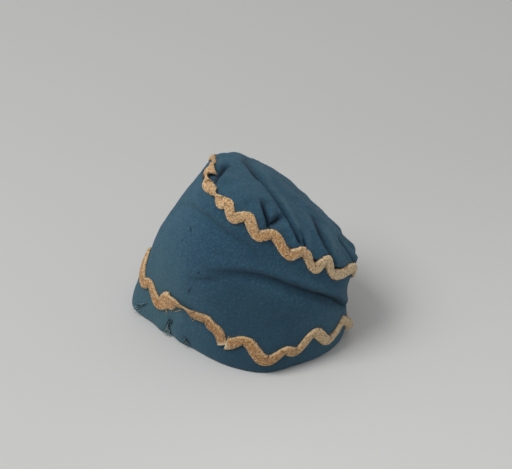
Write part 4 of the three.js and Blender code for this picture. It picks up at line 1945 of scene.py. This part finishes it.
def wool_nap(
    cloth: CapCloth, material: bpy.types.Material, count: int = 9000, per_degree: float = 0.7
) -> Piece:
    """The cloth's nap: hairs that lie every way along its face.

    Args:
        cloth: The cloth that the hairs lie on.
        material: Their material.
        count: How many there are.
        per_degree: About how many millimetres a degree round the cap is.

    Returns:
        All the hairs as one piece.
    """
    draw = np.random.default_rng(41)
    deg = draw.uniform(0, FULL_TURN, count)
    level = draw.uniform(0.02, 1.85, count)
    length = draw.uniform(0.3, 0.9, count)
    way = draw.uniform(0, math.tau, count)
    tip_level = cloth.climb(deg, level, length * np.sin(way))
    tip_deg = deg + length * np.cos(way) / per_degree
    roots = cloth.on_cloth(deg, level, -0.05)
    tips = cloth.on_cloth(tip_deg, tip_level, draw.uniform(0.05, 0.4, count))
    return Fuzz("wool_nap", material).build(roots, tips)


def braid_fuzz(name: str, braid: WavedBraid, material: bpy.types.Material, count: int) -> Piece:
    """The fine ends that stand out of a braid's edges, and the frayed ones at its cuts and its wide turns.

    Args:
        name: The piece's name.
        braid: The braid that they stand out of.
        material: Their material.
        count: How many there are.

    Returns:
        All the ends as one piece.
    """
    draw = np.random.default_rng(10)
    share = draw.uniform(0, 1, count)
    if not braid.closed:
        at_cut = draw.uniform(0, 1, count) < 0.1
        share = np.where(at_cut, np.round(share) + np.where(share < 0.5, 1, -1) * 0.0004, share)
    widest = braid.wave("width", braid.angles(share)) > 1.12
    side = draw.choice([0.0, 0.5], count) + draw.normal(0, 0.045, count)
    roots = braid.place(share, side)
    outer = braid.place(share + draw.normal(0, 0.0006, count), np.round(side * 2) / 2)
    inner = braid.place(share, np.full(count, 0.75))
    way = outer - inner
    way /= np.linalg.norm(way, axis=1, keepdims=True)
    way += draw.normal(0, 0.45, way.shape)
    length = draw.uniform(0.2, 0.6, count) * np.where(widest, 1.5, 1)
    return Fuzz(name, material).build(roots, roots + way * column(length))


def main() -> None:
    """Builds the cap's pieces, dresses them and sets the scene."""
    logging.basicConfig(level=logging.INFO, format="%(name)s: %(message)s")
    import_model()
    bpy.context.scene.view_settings.view_transform = "Standard"

    studio = Studio()
    studio.camera()
    studio.floor()
    studio.lights()

    cloth = CapCloth()
    wool = WoolFinish().material()
    braid = BraidFinish().material()
    side = SideBand(cloth, wool).build()
    crown = Crown(cloth, wool).build()
    upper_line = WavedBraid("upper_waved_braid", cloth, braid, upper_turns(), base_level=1.0, closed=True)
    lower_line = WavedBraid(
        "lower_waved_braid",
        cloth,
        braid,
        lower_turns(),
        base_level=0.0,
        closed=False,
        cut_short=LOWER_CUT_SHORT,
    )
    upper = upper_line.build()
    lower = lower_line.build()
    for piece, node, slot in (
        (side, "side_band", "wool"),
        (crown, "crown", "wool"),
        (upper, "upper_braid", "braid"),
        (lower, "lower_braid", "braid"),
    ):
        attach(piece, "root")
        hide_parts(node)
        LOG.info("%s: %d faces", piece.name, len(piece.data.polygons))

    wool_thread = ThreadFinish("blue_thread", colour=(142, 162, 162), shade=(84, 108, 118)).material()
    pale_thread = ThreadFinish("pale_thread", colour=(206, 184, 140), shade=(168, 136, 92)).material()
    for piece, slot in (
        (loose_threads("wool_fray", cloth, wool_thread, WOOL_THREADS).build(), "wool"),
        (loose_threads("pale_fray", cloth, pale_thread, PALE_THREADS).build(), "braid"),
        (wool_nap(cloth, wool), "wool"),
        (braid_fuzz("upper_fuzz", upper_line, pale_thread, 2600), "braid"),
        (braid_fuzz("lower_fuzz", lower_line, pale_thread, 2600), "braid"),
    ):
        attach(piece, "root")
        LOG.info("%s: %d faces", piece.name, len(piece.data.polygons))


if __name__ == "__main__":
    main()
